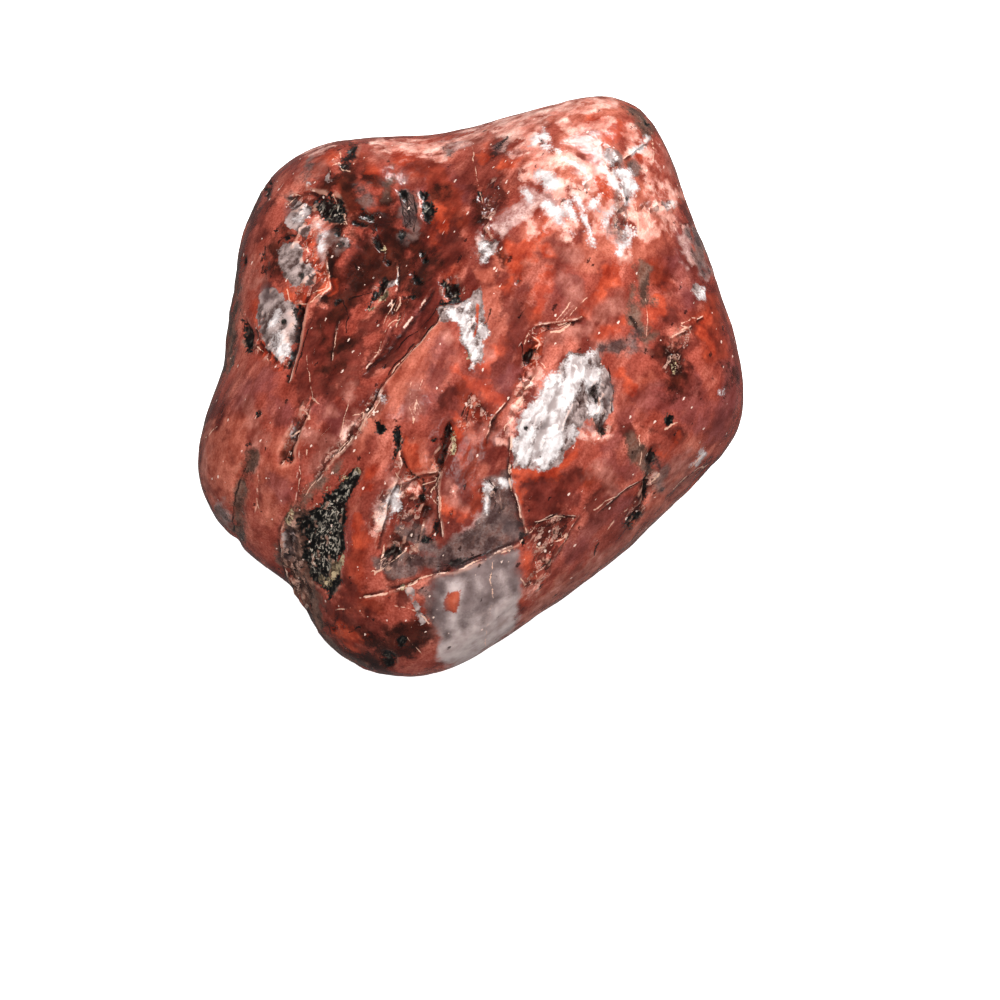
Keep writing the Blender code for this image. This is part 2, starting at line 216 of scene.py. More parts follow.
# Where the minerals lie on the seen side, in the photograph's pixels. A shape whose points are
# (x, y) is an outline, and one whose points are (x, y, half width) is a vein. Each of the "spots"
# is round and stands by itself
SEEN = {
    "salmon": {
        "middle slab": [(436, 322), (450, 330), (458, 352), (452, 384), (438, 400), (410, 404),
            (384, 424), (358, 452), (352, 440), (380, 396), (408, 354)],
        "bright blob": [(404, 442, 6), (416, 452, 14), (428, 466, 10), (412, 492, 9)],
        "left lobe": [(216, 440, 14), (224, 474, 18), (236, 500, 10), (238, 420, 10)],
        "second lobe": [(270, 478, 16), (286, 440, 12), (266, 510, 12)],
        "upper left edge": [(270, 150, 10), (290, 142, 8), (256, 190, 6)],
        "top right": [(560, 112, 12), (598, 112, 18), (630, 104, 12)],
        "under the glare": [(586, 186, 18), (600, 212, 16), (574, 214, 12)],
        "right middle": [(600, 246, 16), (588, 262, 12)],
        "right slope": [(648, 220, 12), (658, 240, 8)],
        "beside the milky quartz": [(498, 330, 12), (492, 300, 14), (488, 352, 8)],
        "right of the milky quartz": [(640, 390, 14), (632, 410, 12)],
        "lower right": [(604, 500, 10), (590, 530, 10)],
        "lower right rim": [(690, 452, 12), (640, 552, 10), (560, 588, 10), (520, 622, 6)],
        "low middle": [(470, 432, 12), (474, 470, 12)],
        "top right inner": [(570, 140, 14), (600, 140, 12), (640, 190, 14), (648, 214, 14)],
        "glare ground": [(540, 168, 16), (570, 170, 18), (600, 190, 18), (566, 224, 14), (530, 232, 12)],
        "below the glare": [(596, 240, 16), (620, 240, 12), (640, 250, 12)],
        "below the torn zone": [(506, 300, 12), (520, 318, 8)],
        "below the glare left": [(500, 258, 12), (530, 252, 10), (490, 274, 9)],
        "spots": [(352, 508, 6)],
    },
    "maroon": {
        # The upper hollow, the hollow's right side and the bottom lobe's edge are partly the stone's dark
        # red and partly painted shade where the surface faces away from the lamps
        "upper hollow": [(378, 222, 10), (390, 244, 20), (366, 262, 26), (346, 290, 22), (336, 316, 16)],
        "below the eye": [(340, 226, 8), (330, 262, 10), (326, 300, 10)],
        "hollow's right side": [(416, 232, 12), (430, 262, 14), (420, 292, 12)],
        "centre left": [(330, 366, 18), (352, 350, 14), (330, 392, 8)],
        "fibrous hollow": [(402, 200, 9), (412, 224, 10)],
        "glossy band": [(430, 294, 6), (434, 308, 8), (412, 328, 11), (388, 350, 12), (368, 368, 10)],
        "left of the flake": [(264, 268, 8), (272, 276, 7), (280, 284, 4)],
        "upper left edge": [(262, 236, 7), (258, 216, 6), (268, 206, 5)],
        "upper middle": [(448, 232, 14), (456, 252, 14), (440, 266, 10)],
        "below the smudge": [(500, 168, 8), (496, 184, 9), (486, 204, 10), (500, 200, 6)],
        "red streak": [(512, 296, 7), (516, 322, 9), (512, 344, 6)],
        "left middle": [(338, 372, 12), (318, 390, 10), (352, 386, 8)],
        "big right patch": [(515, 476), (552, 472), (576, 464), (584, 478), (580, 498), (560, 508),
            (560, 520), (530, 522), (520, 506), (514, 490)],
        "right dark": [(662, 350, 10), (674, 366, 16), (686, 384, 10)],
        "bottom lobe": [(428, 628, 12), (412, 634, 15), (402, 644, 12)],
        "bottom lobe edge": [(336, 650, 6), (352, 660, 7), (390, 670, 8)],
        "chip bed": [(540, 536, 12), (556, 526, 12)],
        "lower right groove": [(712, 462, 3), (692, 478, 5), (672, 496, 4)],
        "red right": [(660, 432, 6), (676, 440, 7)],
        "below the wedge": [(454, 386, 8), (446, 402, 6)],
        "smudge": [(493, 152, 5), (498, 146, 5), (506, 138, 4)],
        "under the eye": [(350, 222, 6), (372, 222, 6)],
        "beside the sparkle": [(474, 186, 4), (478, 214, 6), (474, 236, 5)],
        "sparkle foot": [(500, 240, 6), (506, 262, 5)],
        "right of the band": [(664, 274, 6), (668, 290, 8)],
        "centre": [(440, 420, 5), (452, 440, 5)],
        "right band side": [(660, 300, 8), (672, 320, 8)],
        "bottom": [(344, 622, 15), (372, 626, 15), (330, 612, 8)],
        "right top": [(684, 210, 6), (690, 232, 6)],
        "dark slab": [(312, 306), (338, 300), (352, 332), (344, 374), (322, 398), (300, 404), (292, 390),
            (300, 366), (304, 336)],
        "beside the crest": [(402, 308, 6), (414, 322, 7), (404, 338, 6)],
        "band head": [(378, 304, 8), (396, 304, 9), (414, 302, 8)],
        "band middle": [(368, 326, 9), (382, 322, 8)],
        "eye top": [(348, 172, 9), (362, 168, 6)],
        "left upper": [(268, 286, 7), (274, 298, 4)],
        "by the golden crack": [(390, 574, 6), (408, 596, 9)],
        "low right": [(610, 492, 10), (592, 510, 9)],
        "left of the low middle": [(350, 588, 12), (344, 606, 8)],
        "under the shoulder": [(330, 177, 9), (314, 190, 6)],
        "spots": [(722, 374, 6), (400, 518, 8), (549, 127, 3), (602, 426, 6), (376, 660, 10),
            (690, 346, 10), (630, 430, 9)],
    },
    "orange": {
        "top left": [(308, 146, 7), (320, 142, 5)],
        "stripe": [(305, 222, 4), (309, 238, 5), (312, 256, 4), (318, 272, 6), (326, 284, 7)],
        "below the quartz": [(301, 278, 3), (298, 292, 7), (288, 296, 6), (308, 300, 6)],
        "beside the white quartz": [(262, 344, 4), (268, 354, 6), (276, 362, 4)],
        "between the quartzes": [(306, 236, 4), (310, 250, 4), (312, 264, 4)],
        "top": [(410, 148, 12), (428, 146, 10), (398, 156, 8)],
        "upper middle": [(438, 210, 6), (444, 224, 5)],
        "right of the smudge": [(514, 164, 6), (502, 166, 5)],
        "top right": [(614, 132, 8), (604, 142, 6)],
        "glare": [(598, 178, 12), (606, 196, 9)],
        "bright spot": [(547, 222, 6), (552, 228, 7), (540, 236, 4)],
        "small bright spot": [(524, 246, 5), (518, 256, 6), (512, 280, 7)],
        "right of the pink": [(617, 266, 9), (606, 280, 8), (600, 298, 6), (588, 310, 4)],
        "left of the pink": [(548, 266, 4), (544, 290, 5), (540, 304, 4)],
        "right end": [(610, 330, 8), (598, 336, 7), (622, 322, 4)],
        "right top": [(642, 152, 8), (634, 160, 6)],
        "right slope": [(640, 220, 8), (630, 214, 6), (652, 228, 8)],
        "right column": [(660, 300, 9), (654, 318, 6)],
        "torn zone": [(540, 332, 7), (536, 348, 6), (534, 366, 6), (528, 380, 6), (520, 396, 6),
            (514, 414, 5)],
        "middle": [(452, 372, 5), (500, 398, 6)],
        "under the wedge": [(480, 366, 6), (494, 350, 6)],
        "low middle": [(456, 420, 6), (462, 446, 6)],
        "quartz foot": [(516, 470, 4), (532, 473, 4), (560, 466, 5), (576, 450, 5)],
        "seam foot": [(514, 484, 3), (517, 500, 3)],
        "blob": [(404, 440, 4), (412, 456, 8), (412, 490, 8)],
        "mica side": [(357, 518, 5), (360, 540, 5)],
        "mica side top": [(372, 470, 5), (364, 486, 5)],
        "low quartz edge": [(526, 560, 4), (530, 580, 6), (526, 604, 5)],
        "right of the milky quartz": [(622, 372, 8), (630, 384, 7)],
        "right corner": [(702, 320, 6), (708, 344, 5)],
        "right low": [(672, 444, 5), (664, 456, 4)],
        "left quartz side": [(253, 296, 3), (256, 312, 4), (260, 326, 3)],
        "top right orange": [(588, 150, 6), (600, 170, 8)],
        "bottom rust": [(340, 632, 8), (356, 644, 8)],
        "cavity side": [(609, 418, 3), (612, 424, 2)],
        "below the glare": [(512, 250, 7), (532, 250, 6)],
        "top right bright": [(594, 122, 10), (616, 132, 9)],
        "left of the smudge": [(484, 156, 6), (486, 142, 4)],
        "low purple": [(448, 500, 8), (459, 520, 6)],
        "right of the eye": [(372, 167, 4), (384, 175, 4)],
        "spots": [(332, 157, 7), (550, 250, 8)],
    },
    "haze": {
        # The rim shapes are painted reflection: the pale sheen of the surroundings along the stone's rims
        "beside the black grain": [(379, 146, 4), (376, 158, 5)],
        "upper left": [(318, 168, 6), (302, 180, 3)],
        "pink oval": [(568, 278, 7), (578, 290, 9), (570, 304, 8)],
        "above the oval": [(560, 246, 8), (580, 256, 7)],
        "tan right": [(600, 310, 10), (622, 300, 8)],
        "quartz pink": [(578, 424, 9), (588, 428, 7)],
        "right rim": [(676, 470, 12), (694, 458, 8), (664, 486, 8)],
        "lower right rim": [(664, 512, 7), (630, 546, 9), (590, 572, 9), (552, 598, 8), (520, 622, 6)],
        "left rim": [(206, 430, 5), (204, 460, 5), (206, 490, 5)],
        "glassy left foot": [(220, 508, 6), (226, 520, 6)],
        "tan flake": [(414, 388, 4), (418, 402, 5), (414, 416, 4)],
        "grey above the milky quartz": [(600, 344, 8), (622, 346, 8), (646, 344, 6)],
        "beside the bright blob": [(394, 478, 5), (386, 496, 6), (376, 520, 5)],
        "left dusty": [(262, 262, 4), (256, 286, 4)],
        "upper rim": [(300, 140, 3), (330, 138, 3)],
        "right upper rim": [(666, 148, 3), (684, 196, 3)],
        "torn crest": [(362, 412, 4), (350, 430, 4), (340, 446, 3)],
        "right granular": [(646, 212, 6), (662, 216, 6), (668, 230, 4)],
        "pale above the eye": [(374, 148, 5), (380, 160, 5)],
        "lower right": [(600, 470, 8), (616, 486, 6)],
        "wedge side": [(482, 350, 4), (490, 354, 4), (486, 344, 3)],
        "top middle": [(540, 116, 8), (470, 142, 6)],
        "low right rim": [(694, 474, 5), (664, 514, 5), (632, 546, 6), (600, 576, 6), (572, 600, 6)],
        "low left of the quartz": [(446, 650, 8), (452, 662, 6)],
        "left of the low quartz": [(446, 586, 9), (446, 610, 10), (440, 632, 8)],
        "left of the purple": [(446, 489, 5), (460, 506, 5)],
        "left middle": [(310, 432, 10), (326, 446, 10), (314, 462, 10)],
        "left": [(250, 410, 9), (256, 430, 7), (250, 466, 7)],
        "right of the torn zone": [(550, 336, 7), (590, 332, 6)],
        "broken middle": [(412, 530, 7), (430, 530, 7)],
        "spots": [(530, 590, 9), (350, 428, 7), (332, 410, 6), (472, 366, 4), (490, 430, 7),
            (350, 392, 8), (450, 332, 6)],
    },
    "pale": {
        # The glare, top, corner, slope, rim and glint shapes are painted highlight: the window's glare
        # over the upper right and the rim light along the top edge
        "glare": [(526, 176, 7), (548, 164, 9), (570, 160, 9), (590, 166, 6)],
        "glare tail": [(580, 196, 4), (590, 214, 4), (596, 230, 3)],
        "glare right": [(584, 176, 6), (596, 200, 5)],
        "top edge": [(446, 142, 2), (476, 132, 3), (500, 124, 5), (530, 116, 7), (560, 107, 6),
            (596, 100, 4)],
        "glint slope": [(398, 484, 4), (388, 502, 6), (376, 526, 5)],
        "slope streak": [(624, 252, 2), (634, 234, 2)],
        "corner streak": [(633, 153, 2), (648, 142, 2)],
        "quartz foot": [(576, 432, 3), (592, 436, 4), (610, 432, 3)],
        "granular slope": [(654, 206, 4), (668, 212, 4), (676, 228, 3)],
        "slit side": [(656, 474, 3), (652, 486, 2)],
        "glare middle": [(552, 184, 7), (572, 192, 8)],
        "corner": [(644, 178, 3), (656, 196, 3)],
        "slope": [(628, 252, 4), (620, 262, 4)],
        "shoulder rim": [(303, 154, 2), (312, 147, 2.6), (322, 144, 2.4), (331, 141, 1.6)],
        "smudge streak": [(514, 147, 2.6), (528, 143, 4), (546, 140, 4)],
        "top right": [(586, 106, 4), (612, 104, 4)],
        "top right low": [(600, 170, 8), (616, 184, 9), (626, 200, 7)],
        "top left": [(374, 148, 5), (396, 147, 6), (420, 148, 8), (440, 150, 8)],
        "top middle": [(506, 132, 8), (530, 134, 9), (540, 152, 9)],
        "corner wide": [(646, 168, 7), (652, 178, 6)],
        "slope wide": [(610, 206, 9), (630, 214, 7), (650, 230, 9), (668, 230, 5)],
        "glare low": [(570, 226, 9), (552, 226, 5)],
        "quartz left": [(534, 370, 5), (524, 392, 5), (511, 420, 4), (507, 440, 3)],
        "top right glow": [(586, 130, 5), (606, 122, 5)],
        "top right corner": [(632, 130, 6), (630, 151, 6)],
        "top middle right": [(560, 114, 7), (572, 132, 7)],
        "right rim": [(664, 182, 4), (672, 196, 5)],
        "blob": [(408, 488, 4), (416, 494, 3)],
        "crest low": [(353, 425, 2.2), (344, 438, 1.6)],
        "chip bed foot": [(536, 586, 2), (530, 596, 2)],
        "glare core": [(600, 212, 5), (586, 200, 5)],
        "spots": [(309, 183, 1.4), (532, 228, 6), (306, 428, 2), (650, 152, 4), (592, 208, 7),
            (484, 148, 2.4), (568, 234, 6), (452, 492, 2)],
    },
    "olive": {
        "left strip": [(238, 268, 3), (234, 300, 4), (230, 340, 4), (224, 372, 3)],
        "beside the eye": [(392, 168, 2), (391, 182, 2.4), (388, 194, 3)],
        "top right corner": [(630, 108, 5), (640, 120, 7), (647, 132, 6)],
        "spot under it": [(630, 162, 3), (638, 170, 5)],
        "right band": [(632, 284, 3), (632, 300, 4), (638, 320, 8), (648, 336, 8)],
        "right tan": [(644, 268, 6), (648, 300, 6)],
        "right patch": [(632, 442, 8), (640, 456, 10), (648, 470, 7)],
        "left seam": [(252, 456, 5), (246, 468, 6), (240, 486, 5), (236, 504, 5), (237, 523, 5),
            (240, 540, 4)],
        "mica rim": [(296, 506), (312, 512), (310, 540), (312, 560), (314, 578), (320, 594), (322, 614),
            (324, 634), (312, 624), (300, 602), (288, 586), (279, 566), (277, 546), (281, 526)],
        "wedge": [(342, 458), (340, 474), (322, 488), (308, 502), (294, 514), (290, 508), (314, 482)],
        "bottom edge": [(324, 636, 3), (338, 656, 3), (360, 668, 3)],
    },
    "glassy": {
        "low quartz": [(440, 577), (458, 572), (491, 560), (517, 551), (515, 574), (520, 594), (519, 615),
            (513, 630), (491, 645), (470, 662), (448, 668), (440, 660), (440, 640), (435, 615),
            (434, 592)],
    },
    "grey": {
        "upper lump": [(293, 198, 4), (300, 208, 9), (296, 221, 7), (302, 230, 4)],
        "granular": [(284, 243), (296, 240), (300, 252), (309, 262), (313, 274), (309, 286), (301, 283),
            (298, 290), (290, 284), (284, 276), (278, 262), (280, 250)],
        "left quartz": [(256, 292), (275, 288), (290, 300), (299, 310), (297, 330), (292, 348),
            (284, 361), (276, 360), (266, 344), (258, 330), (258, 312)],
        "right rim low": [(696, 288, 3), (702, 294, 3)],
        "milky quartz bed": [(596, 349), (607, 372), (613, 392), (613, 411), (601, 427), (591, 419),
            (577, 431), (572, 443), (560, 462), (548, 468), (532, 470), (513, 466), (511, 447),
            (517, 427), (528, 407), (542, 386), (556, 366), (575, 352)],
        "wedge": [(438, 308), (462, 302), (480, 288), (486, 316), (489, 334), (482, 352), (476, 373),
            (468, 360), (458, 338), (456, 322), (440, 320)],
        "lilac streak": [(411, 588, 3), (415, 606, 3), (424, 620, 3)],
        "pit": [(294, 424, 4), (288, 438, 4)],
        "sparkle": [(484, 246, 6), (488, 258, 6), (492, 242, 4)],
        "mica rim crystals": [(290, 537, 4), (284, 548, 3), (281, 530, 2)],
        "spots": [(390, 284, 4), (329, 177, 3), (342, 240, 4)],
    },
    "milky": {
        # The glare, light, bright, glint, sparkle and streak shapes and the white of the upper lump are
        # painted highlight: the window's glare and glints. The main quartz and the wedge are the quartz's
        # own white
        "upper lump": [(303, 210, 3), (300, 215, 2)],
        "streak": [(319, 226, 1.4), (322, 248, 1.2)],
        "left quartz": [(282, 338, 5), (284, 348, 6), (281, 355, 4)],
        "main left": [(556, 376, 7), (540, 404, 10), (526, 430, 10), (524, 450, 10), (524, 460, 6)],
        "main right": [(578, 366, 10), (564, 392, 12), (552, 424, 13), (546, 448, 12), (540, 460, 8)],
        "main top": [(592, 372, 8), (594, 392, 6), (596, 412, 5)],
        "wedge left": [(452, 313, 3), (462, 320, 6), (468, 336, 7), (473, 354, 4), (473, 370, 2.6)],
        "wedge right": [(476, 320, 5), (484, 334, 5), (480, 346, 3)],
        "glare lines": [(572, 194, 3), (582, 212, 3), (590, 230, 2), (594, 242, 1)],
        "glare lines left": [(558, 219, 1), (566, 226, 2), (572, 233, 2)],
        "glare streak": [(536, 143, 4), (546, 136, 5)],
        "blue streaks": [(606, 154, 3), (618, 184, 3), (626, 192, 3)],
        "slope streak": [(620, 252, 3), (628, 242, 3), (636, 230, 2)],
        "corner streak": [(632, 151, 3), (640, 146, 3), (648, 140, 2)],
        "rim streak": [(704, 288, 1.5), (701, 297, 1.5)],
        "purple glints": [(486, 484, 1.5), (486, 498, 1.5), (486, 512, 1.2)],
        "sparkle": [(482, 244, 2), (488, 255, 3.4), (484, 262, 1.6)],
        "capsule chip": [(695, 464, 1.5), (704, 452, 1.5)],
        "purple glints right": [(500, 480, 3), (508, 484, 2)],
        "glint band": [(395, 490, 1.5), (388, 504, 2.4), (380, 520, 1.5)],
        "left quartz top": [(276, 314, 2), (270, 322, 2)],
        "top right light": [(604, 172, 3), (612, 184, 4), (620, 192, 3)],
        "bright corner": [(622, 172, 5), (630, 188, 7), (624, 200, 5)],
        "bright corner low": [(612, 208, 3), (604, 220, 3)],
        "glare left": [(546, 206, 5), (560, 212, 4)],
        "glare top": [(552, 184, 5), (538, 176, 4)],
        "glint band low": [(396, 506, 3), (388, 518, 3)],
        "glare foot": [(526, 190, 3), (532, 200, 4)],
        "glare low": [(568, 203, 4), (574, 218, 4)],
        "top light": [(556, 152, 4), (544, 146, 3)],
        "glare core": [(590, 204, 4), (598, 196, 3)],
        "spots": [(309, 183, 2), (380, 395, 4), (718, 389, 1.5), (670, 206, 2), (570, 432, 5),
            (588, 354, 5), (628, 232, 4), (466, 308, 4)],
    },
    "inclusion": {
        "in the low quartz": [(446, 590), (459, 589), (460, 600), (456, 612), (443, 611), (444, 600)],
        "wedge notch": [(476, 306, 2), (478, 320, 2.2), (474, 334, 1.5)],
    },
    "mica": {
        "black grain": [(352, 145, 4), (347, 156, 6), (343, 166, 5)],
        "upper cluster": [(312, 197), (330, 192), (340, 200), (346, 214), (340, 224), (330, 221),
            (321, 214), (312, 209)],
        "cluster end": [(354, 221, 1.5), (362, 223, 2.5)],
        "fibre right": [(420, 190), (427, 194), (435, 208), (427, 221), (421, 214), (423, 204)],
        "hollow's right side": [(423, 250, 2.5), (426, 260, 3.5)],
        "spots below": [(413, 273, 3.5), (418, 282, 3)],
        "spots low": [(404, 298, 2), (411, 296, 3)],
        "glossy lump": [(442, 280, 4), (449, 288, 7), (456, 298, 5), (444, 302, 3)],
        "yellow glints": [(376, 226, 2), (377, 238, 2), (381, 248, 3)],
        "steep crack": [(386, 278, 3), (380, 288, 4), (373, 300, 3), (369, 308, 2)],
        "left edge": [(242, 322, 2.5), (247, 336, 4.5), (250, 348, 2.5)],
        "left small": [(244, 258, 1.5), (244, 263, 1.5)],
        "left upper small": [(270, 183, 1.5), (268, 191, 1.5)],
        "quartz side": [(302, 310, 3), (298, 328, 3.5), (295, 346, 2), (291, 364, 1.2), (288, 382, 1)],
        "quartz spots": [(264, 256, 1.5), (265, 268, 2)],
        "pocket": [(359, 466), (362, 478), (354, 489), (346, 507), (344, 525), (344, 548), (337, 562),
            (340, 584), (330, 590), (318, 584), (306, 578), (302, 563), (301, 543), (296, 525),
            (309, 512), (326, 498), (344, 482), (350, 468)],
        "slit": [(449, 424, 2), (445, 440, 3.5), (440, 462, 2.5)],
        "blue pit": [(286, 450, 3), (284, 456, 4)],
        "right slit": [(654, 448, 2), (652, 462, 3)],
        "right slit low": [(648, 478, 3), (650, 490, 3.5), (648, 502, 2)],
        "low right": [(635, 514, 2), (630, 522, 3.5)],
        "corner crack": [(425, 543, 2), (434, 538, 2.5), (437, 524, 1.5)],
        "quartz pit": [(595, 390, 4), (597, 400, 3)],
        "low pits": [(331, 589, 2.5), (328, 596, 2)],
        "right spot": [(669, 415, 3), (668, 420, 3)],
        "torn cavity": [(527, 356, 4), (531, 350, 3)],
        "crack corner": [(381, 421, 2), (382, 430, 3)],
        "break": [(422, 500, 3), (416, 508, 3)],
        "band foot": [(446, 566, 1.5), (464, 562, 2), (480, 557, 1)],
        "dark crack": [(399, 428, 1.5), (399, 444, 2.5), (396, 458, 1.5)],
        "broken cavity": [(388, 556, 5), (395, 552, 3)],
        "left specks": [(285, 234, 2), (288, 237, 2)],
        "upper specks": [(264, 188, 1.5), (267, 196, 1.8)],
        "below the eye": [(362, 214, 1.8), (370, 216, 1.4)],
        "hollow speck": [(383, 258, 2), (388, 262, 2)],
        "fibre top": [(400, 191, 2), (404, 197, 1.6)],
        "fibre foot": [(402, 226, 1.6), (403, 236, 1)],
        "right of the smudge": [(478, 190, 1.4), (480, 201, 1.8)],
        "band end": [(523, 534, 2), (524, 543, 2)],
        "spots": [(406, 551, 3), (388, 658, 8), (403, 642, 4), (248, 445, 2.5), (602, 430, 3),
            (337, 233, 2), (337, 244, 2), (300, 274, 1.5), (277, 231, 2), (337, 300, 2.5),
            (283, 322, 1.5), (518, 280, 1.8), (258, 411, 2), (335, 631, 1.8), (342, 629, 1.4),
            (525, 429, 2), (530, 425, 1.2), (560, 449, 1.2), (646, 124, 1.2), (543, 142, 2),
            (300, 188, 1.5), (424, 614, 1.2), (434, 440, 2), (294, 233, 2)],
    },
    "tan": {
        "pocket foot": [(341, 556, 3), (336, 566, 5), (330, 578, 4), (322, 580, 3)],
        "pocket top": [(356, 470, 3), (360, 476, 2)],
        "slit side": [(452, 438, 3), (453, 450, 3)],
        "pocket left": [(292, 516, 3), (288, 524, 2)],
        "yellow glints": [(385, 246, 1.2), (384, 252, 1)],
        "steep flake": [(386, 294, 3), (380, 301, 4), (373, 308, 3)],
        "golden glint": [(672, 366, 2.5), (674, 372, 1.5)],
        "wedge foot": [(466, 350, 2), (470, 362, 2)],
        "crack wide": [(404, 586, 1.5), (420, 579, 1.5)],
        "spots": [(341, 480, 2), (332, 489, 2)],
    },
    "smoky": {
        "low quartz top": [(474, 572, 5), (494, 564, 8), (511, 560, 9)],
        "low quartz right": [(511, 570, 9), (512, 590, 7)],
        "low quartz crack": [(488, 590, 1), (484, 624, 1)],
        "milky edge": [(609, 384, 4), (610, 400, 4)],
        "low quartz middle": [(466, 574, 8), (480, 568, 9), (494, 588, 9), (480, 604, 8)],
        "smudge": [(496, 149, 1.5), (502, 143, 2), (508, 138, 1.2)],
        "low quartz left": [(468, 582, 8), (471, 600, 8), (464, 622, 7)],
        "band end": [(508, 520, 5), (516, 534, 5)],
        "left of the inclusion": [(440, 584, 8), (436, 602, 9), (442, 620, 8), (446, 636, 5)],
        "over the inclusion": [(448, 577, 6), (461, 575, 6)],
        "spots": [(289, 212, 3), (266, 294, 7)],
    },
    "plum": {
        "below the hollow": [(324, 404, 12), (338, 424, 10)],
        "left lobe": [(282, 494, 12), (272, 482, 8)],
        "slab": [(444, 346, 10), (440, 372, 10), (430, 396, 10), (412, 410, 8)],
        "upper left": [(262, 190, 8), (276, 172, 8), (290, 160, 6)],
        "big right patch": [(540, 490, 16), (570, 486, 12)],
        "right": [(680, 400, 14), (700, 420, 12), (690, 380, 10)],
        "low right": [(620, 500, 14), (596, 520, 10), (570, 560, 10)],
        "red middle": [(470, 396, 10), (484, 420, 10)],
        "by the sparkle": [(476, 200, 8), (482, 226, 8)],
        "left": [(262, 380, 12), (240, 400, 10)],
        "upper right": [(676, 220, 8), (684, 250, 8)],
        "glossy band": [(430, 300, 8), (400, 336, 10)],
        "oval": [(572, 284, 14), (566, 306, 10)],
        "above the milky quartz": [(500, 390, 8), (512, 372, 6)],
        "right corner": [(720, 340, 10), (730, 400, 12), (716, 430, 12)],
        "right middle": [(660, 400, 14), (640, 400, 12)],
        "upper middle": [(440, 176, 12), (460, 200, 10), (424, 190, 8)],
        "right slope": [(676, 270, 12), (690, 300, 10)],
        "low orange": [(356, 520, 8), (350, 580, 8)],
        "red right": [(612, 466, 12), (630, 474, 10)],
        "pink band": [(676, 462, 8), (690, 456, 8)],
        "left middle": [(276, 404, 10), (286, 420, 10)],
        "right of the quartz": [(612, 448, 10), (630, 412, 10)],
    },
    "ashy": {
        "purple quartz": [(484, 478), (510, 466), (513, 494), (520, 516), (526, 536), (514, 550),
            (484, 556), (450, 570), (436, 572), (440, 552), (458, 536), (474, 526), (484, 510)],
        "above the milky quartz": [(602, 346, 5), (618, 348, 6), (636, 344, 6)],
        "brown broken": [(388, 556, 5), (420, 562, 8), (440, 564, 8)],
        "brown facets": [(404, 518, 5), (420, 530, 6)],
        "fibrous foot": [(411, 236, 6), (404, 232, 4)],
        "upper streak": [(310, 162, 4), (309, 182, 4)],
        "left foot": [(218, 510, 5), (226, 522, 5)],
        "blue streaks": [(616, 154, 3), (620, 170, 3), (614, 224, 4), (624, 236, 5)],
        "right rim": [(694, 232, 5), (701, 254, 6), (706, 272, 4)],
        "grey wash": [(654, 462, 5), (664, 474, 6), (660, 486, 4)],
        "glint band": [(392, 490, 5), (382, 510, 6)],
        "low quartz left": [(426, 594, 7), (434, 616, 8), (446, 590, 5)],
        "mica rim": [(288, 534, 7), (286, 556, 6)],
        "lavender lump": [(330, 236, 4), (341, 240, 6), (335, 250, 4)],
        "band low": [(640, 330, 6), (634, 344, 8)],
        "left quartz": [(264, 300, 8), (270, 318, 7)],
        "eye core": [(363, 189, 6), (368, 200, 8)],
        "fibrous": [(399, 190), (410, 192), (421, 198), (419, 212), (421, 222), (413, 231), (404, 224),
            (400, 208)],
        "under the fibres": [(408, 232, 3), (416, 236, 4)],
        "broken crumbs": [(396, 528, 5), (412, 540, 9), (432, 552, 8), (446, 560, 6)],
        "broken foot": [(380, 562, 6), (396, 570, 8), (414, 572, 6)],
        "spots": [(450, 153, 4), (292, 198, 5), (617, 157, 4), (636, 168, 6)],
    },
    "umber": {
        # The hollow, bottom lobe, bottom edge, bottom shade and bottom shapes are partly the stone's own
        # dark brown and partly painted shade in the hollow above the middle and along the bottom
        "hollow": [(392, 232, 16), (384, 256, 20), (360, 272, 18), (346, 296, 14), (336, 316, 8)],
        "hollow left": [(340, 226, 8), (330, 252, 10), (328, 280, 10), (326, 300, 8)],
        "hollow right": [(416, 240, 12), (430, 262, 10), (414, 288, 10)],
        "eye": [(347, 182, 7), (346, 202, 8), (354, 214, 8), (372, 222, 8), (388, 208, 7), (388, 188, 6),
            (368, 172, 5)],
        "beside the cluster": [(340, 196, 6), (350, 220, 5)],
        "smudge": [(492, 156, 4), (498, 147, 6), (507, 137, 5)],
        "centre left": [(334, 354, 8), (346, 340, 6), (326, 374, 6)],
        "bottom lobe": [(426, 630, 12), (404, 640, 18), (386, 654, 16)],
        "bottom edge": [(334, 644, 8), (356, 656, 10), (380, 666, 8)],
        "right dark": [(664, 348, 6), (672, 360, 9), (680, 376, 9), (668, 392, 5)],
        "corner dark": [(722, 372, 7), (730, 380, 5)],
        "break": [(398, 506, 6), (402, 556, 6), (386, 556, 6)],
        "under the wedge": [(500, 252, 4), (506, 262, 4)],
        "beside the sparkle": [(476, 204, 4), (480, 222, 4)],
        "slit": [(650, 486, 4), (632, 520, 3)],
        "upper orange": [(440, 190, 6), (430, 204, 6)],
        "red flakes": [(320, 322, 4), (322, 338, 4)],
        "broken gaps": [(392, 540, 6), (404, 548, 5), (398, 492, 3), (422, 500, 4), (424, 520, 4)],
        "band end": [(508, 516, 4), (514, 532, 6)],
        "bottom shade": [(346, 634, 8), (362, 640, 10), (376, 646, 8)],
        "broken foot": [(384, 560, 3), (392, 566, 4)],
        "above the cluster": [(320, 189, 5), (338, 187, 5)],
        "hollow foot": [(412, 266, 9), (394, 270, 14), (376, 276, 7)],
        "beside the granular": [(288, 232, 7), (278, 240, 5), (272, 266, 6)],
        "bottom": [(352, 646, 9), (334, 632, 8)],
        "band head": [(394, 308, 7), (408, 304, 5)],
        "hollow middle": [(384, 262, 8), (394, 278, 8)],
        "spots": [(630, 160, 3), (602, 428, 5), (338, 238, 10), (350, 172, 7), (434, 214, 6),
            (352, 232, 7)],
    },
    "lilac": {
        # The rim, glare, glint, sparkle and streak shapes and the left foot are painted highlight: rim
        # light, the window's glare and glints
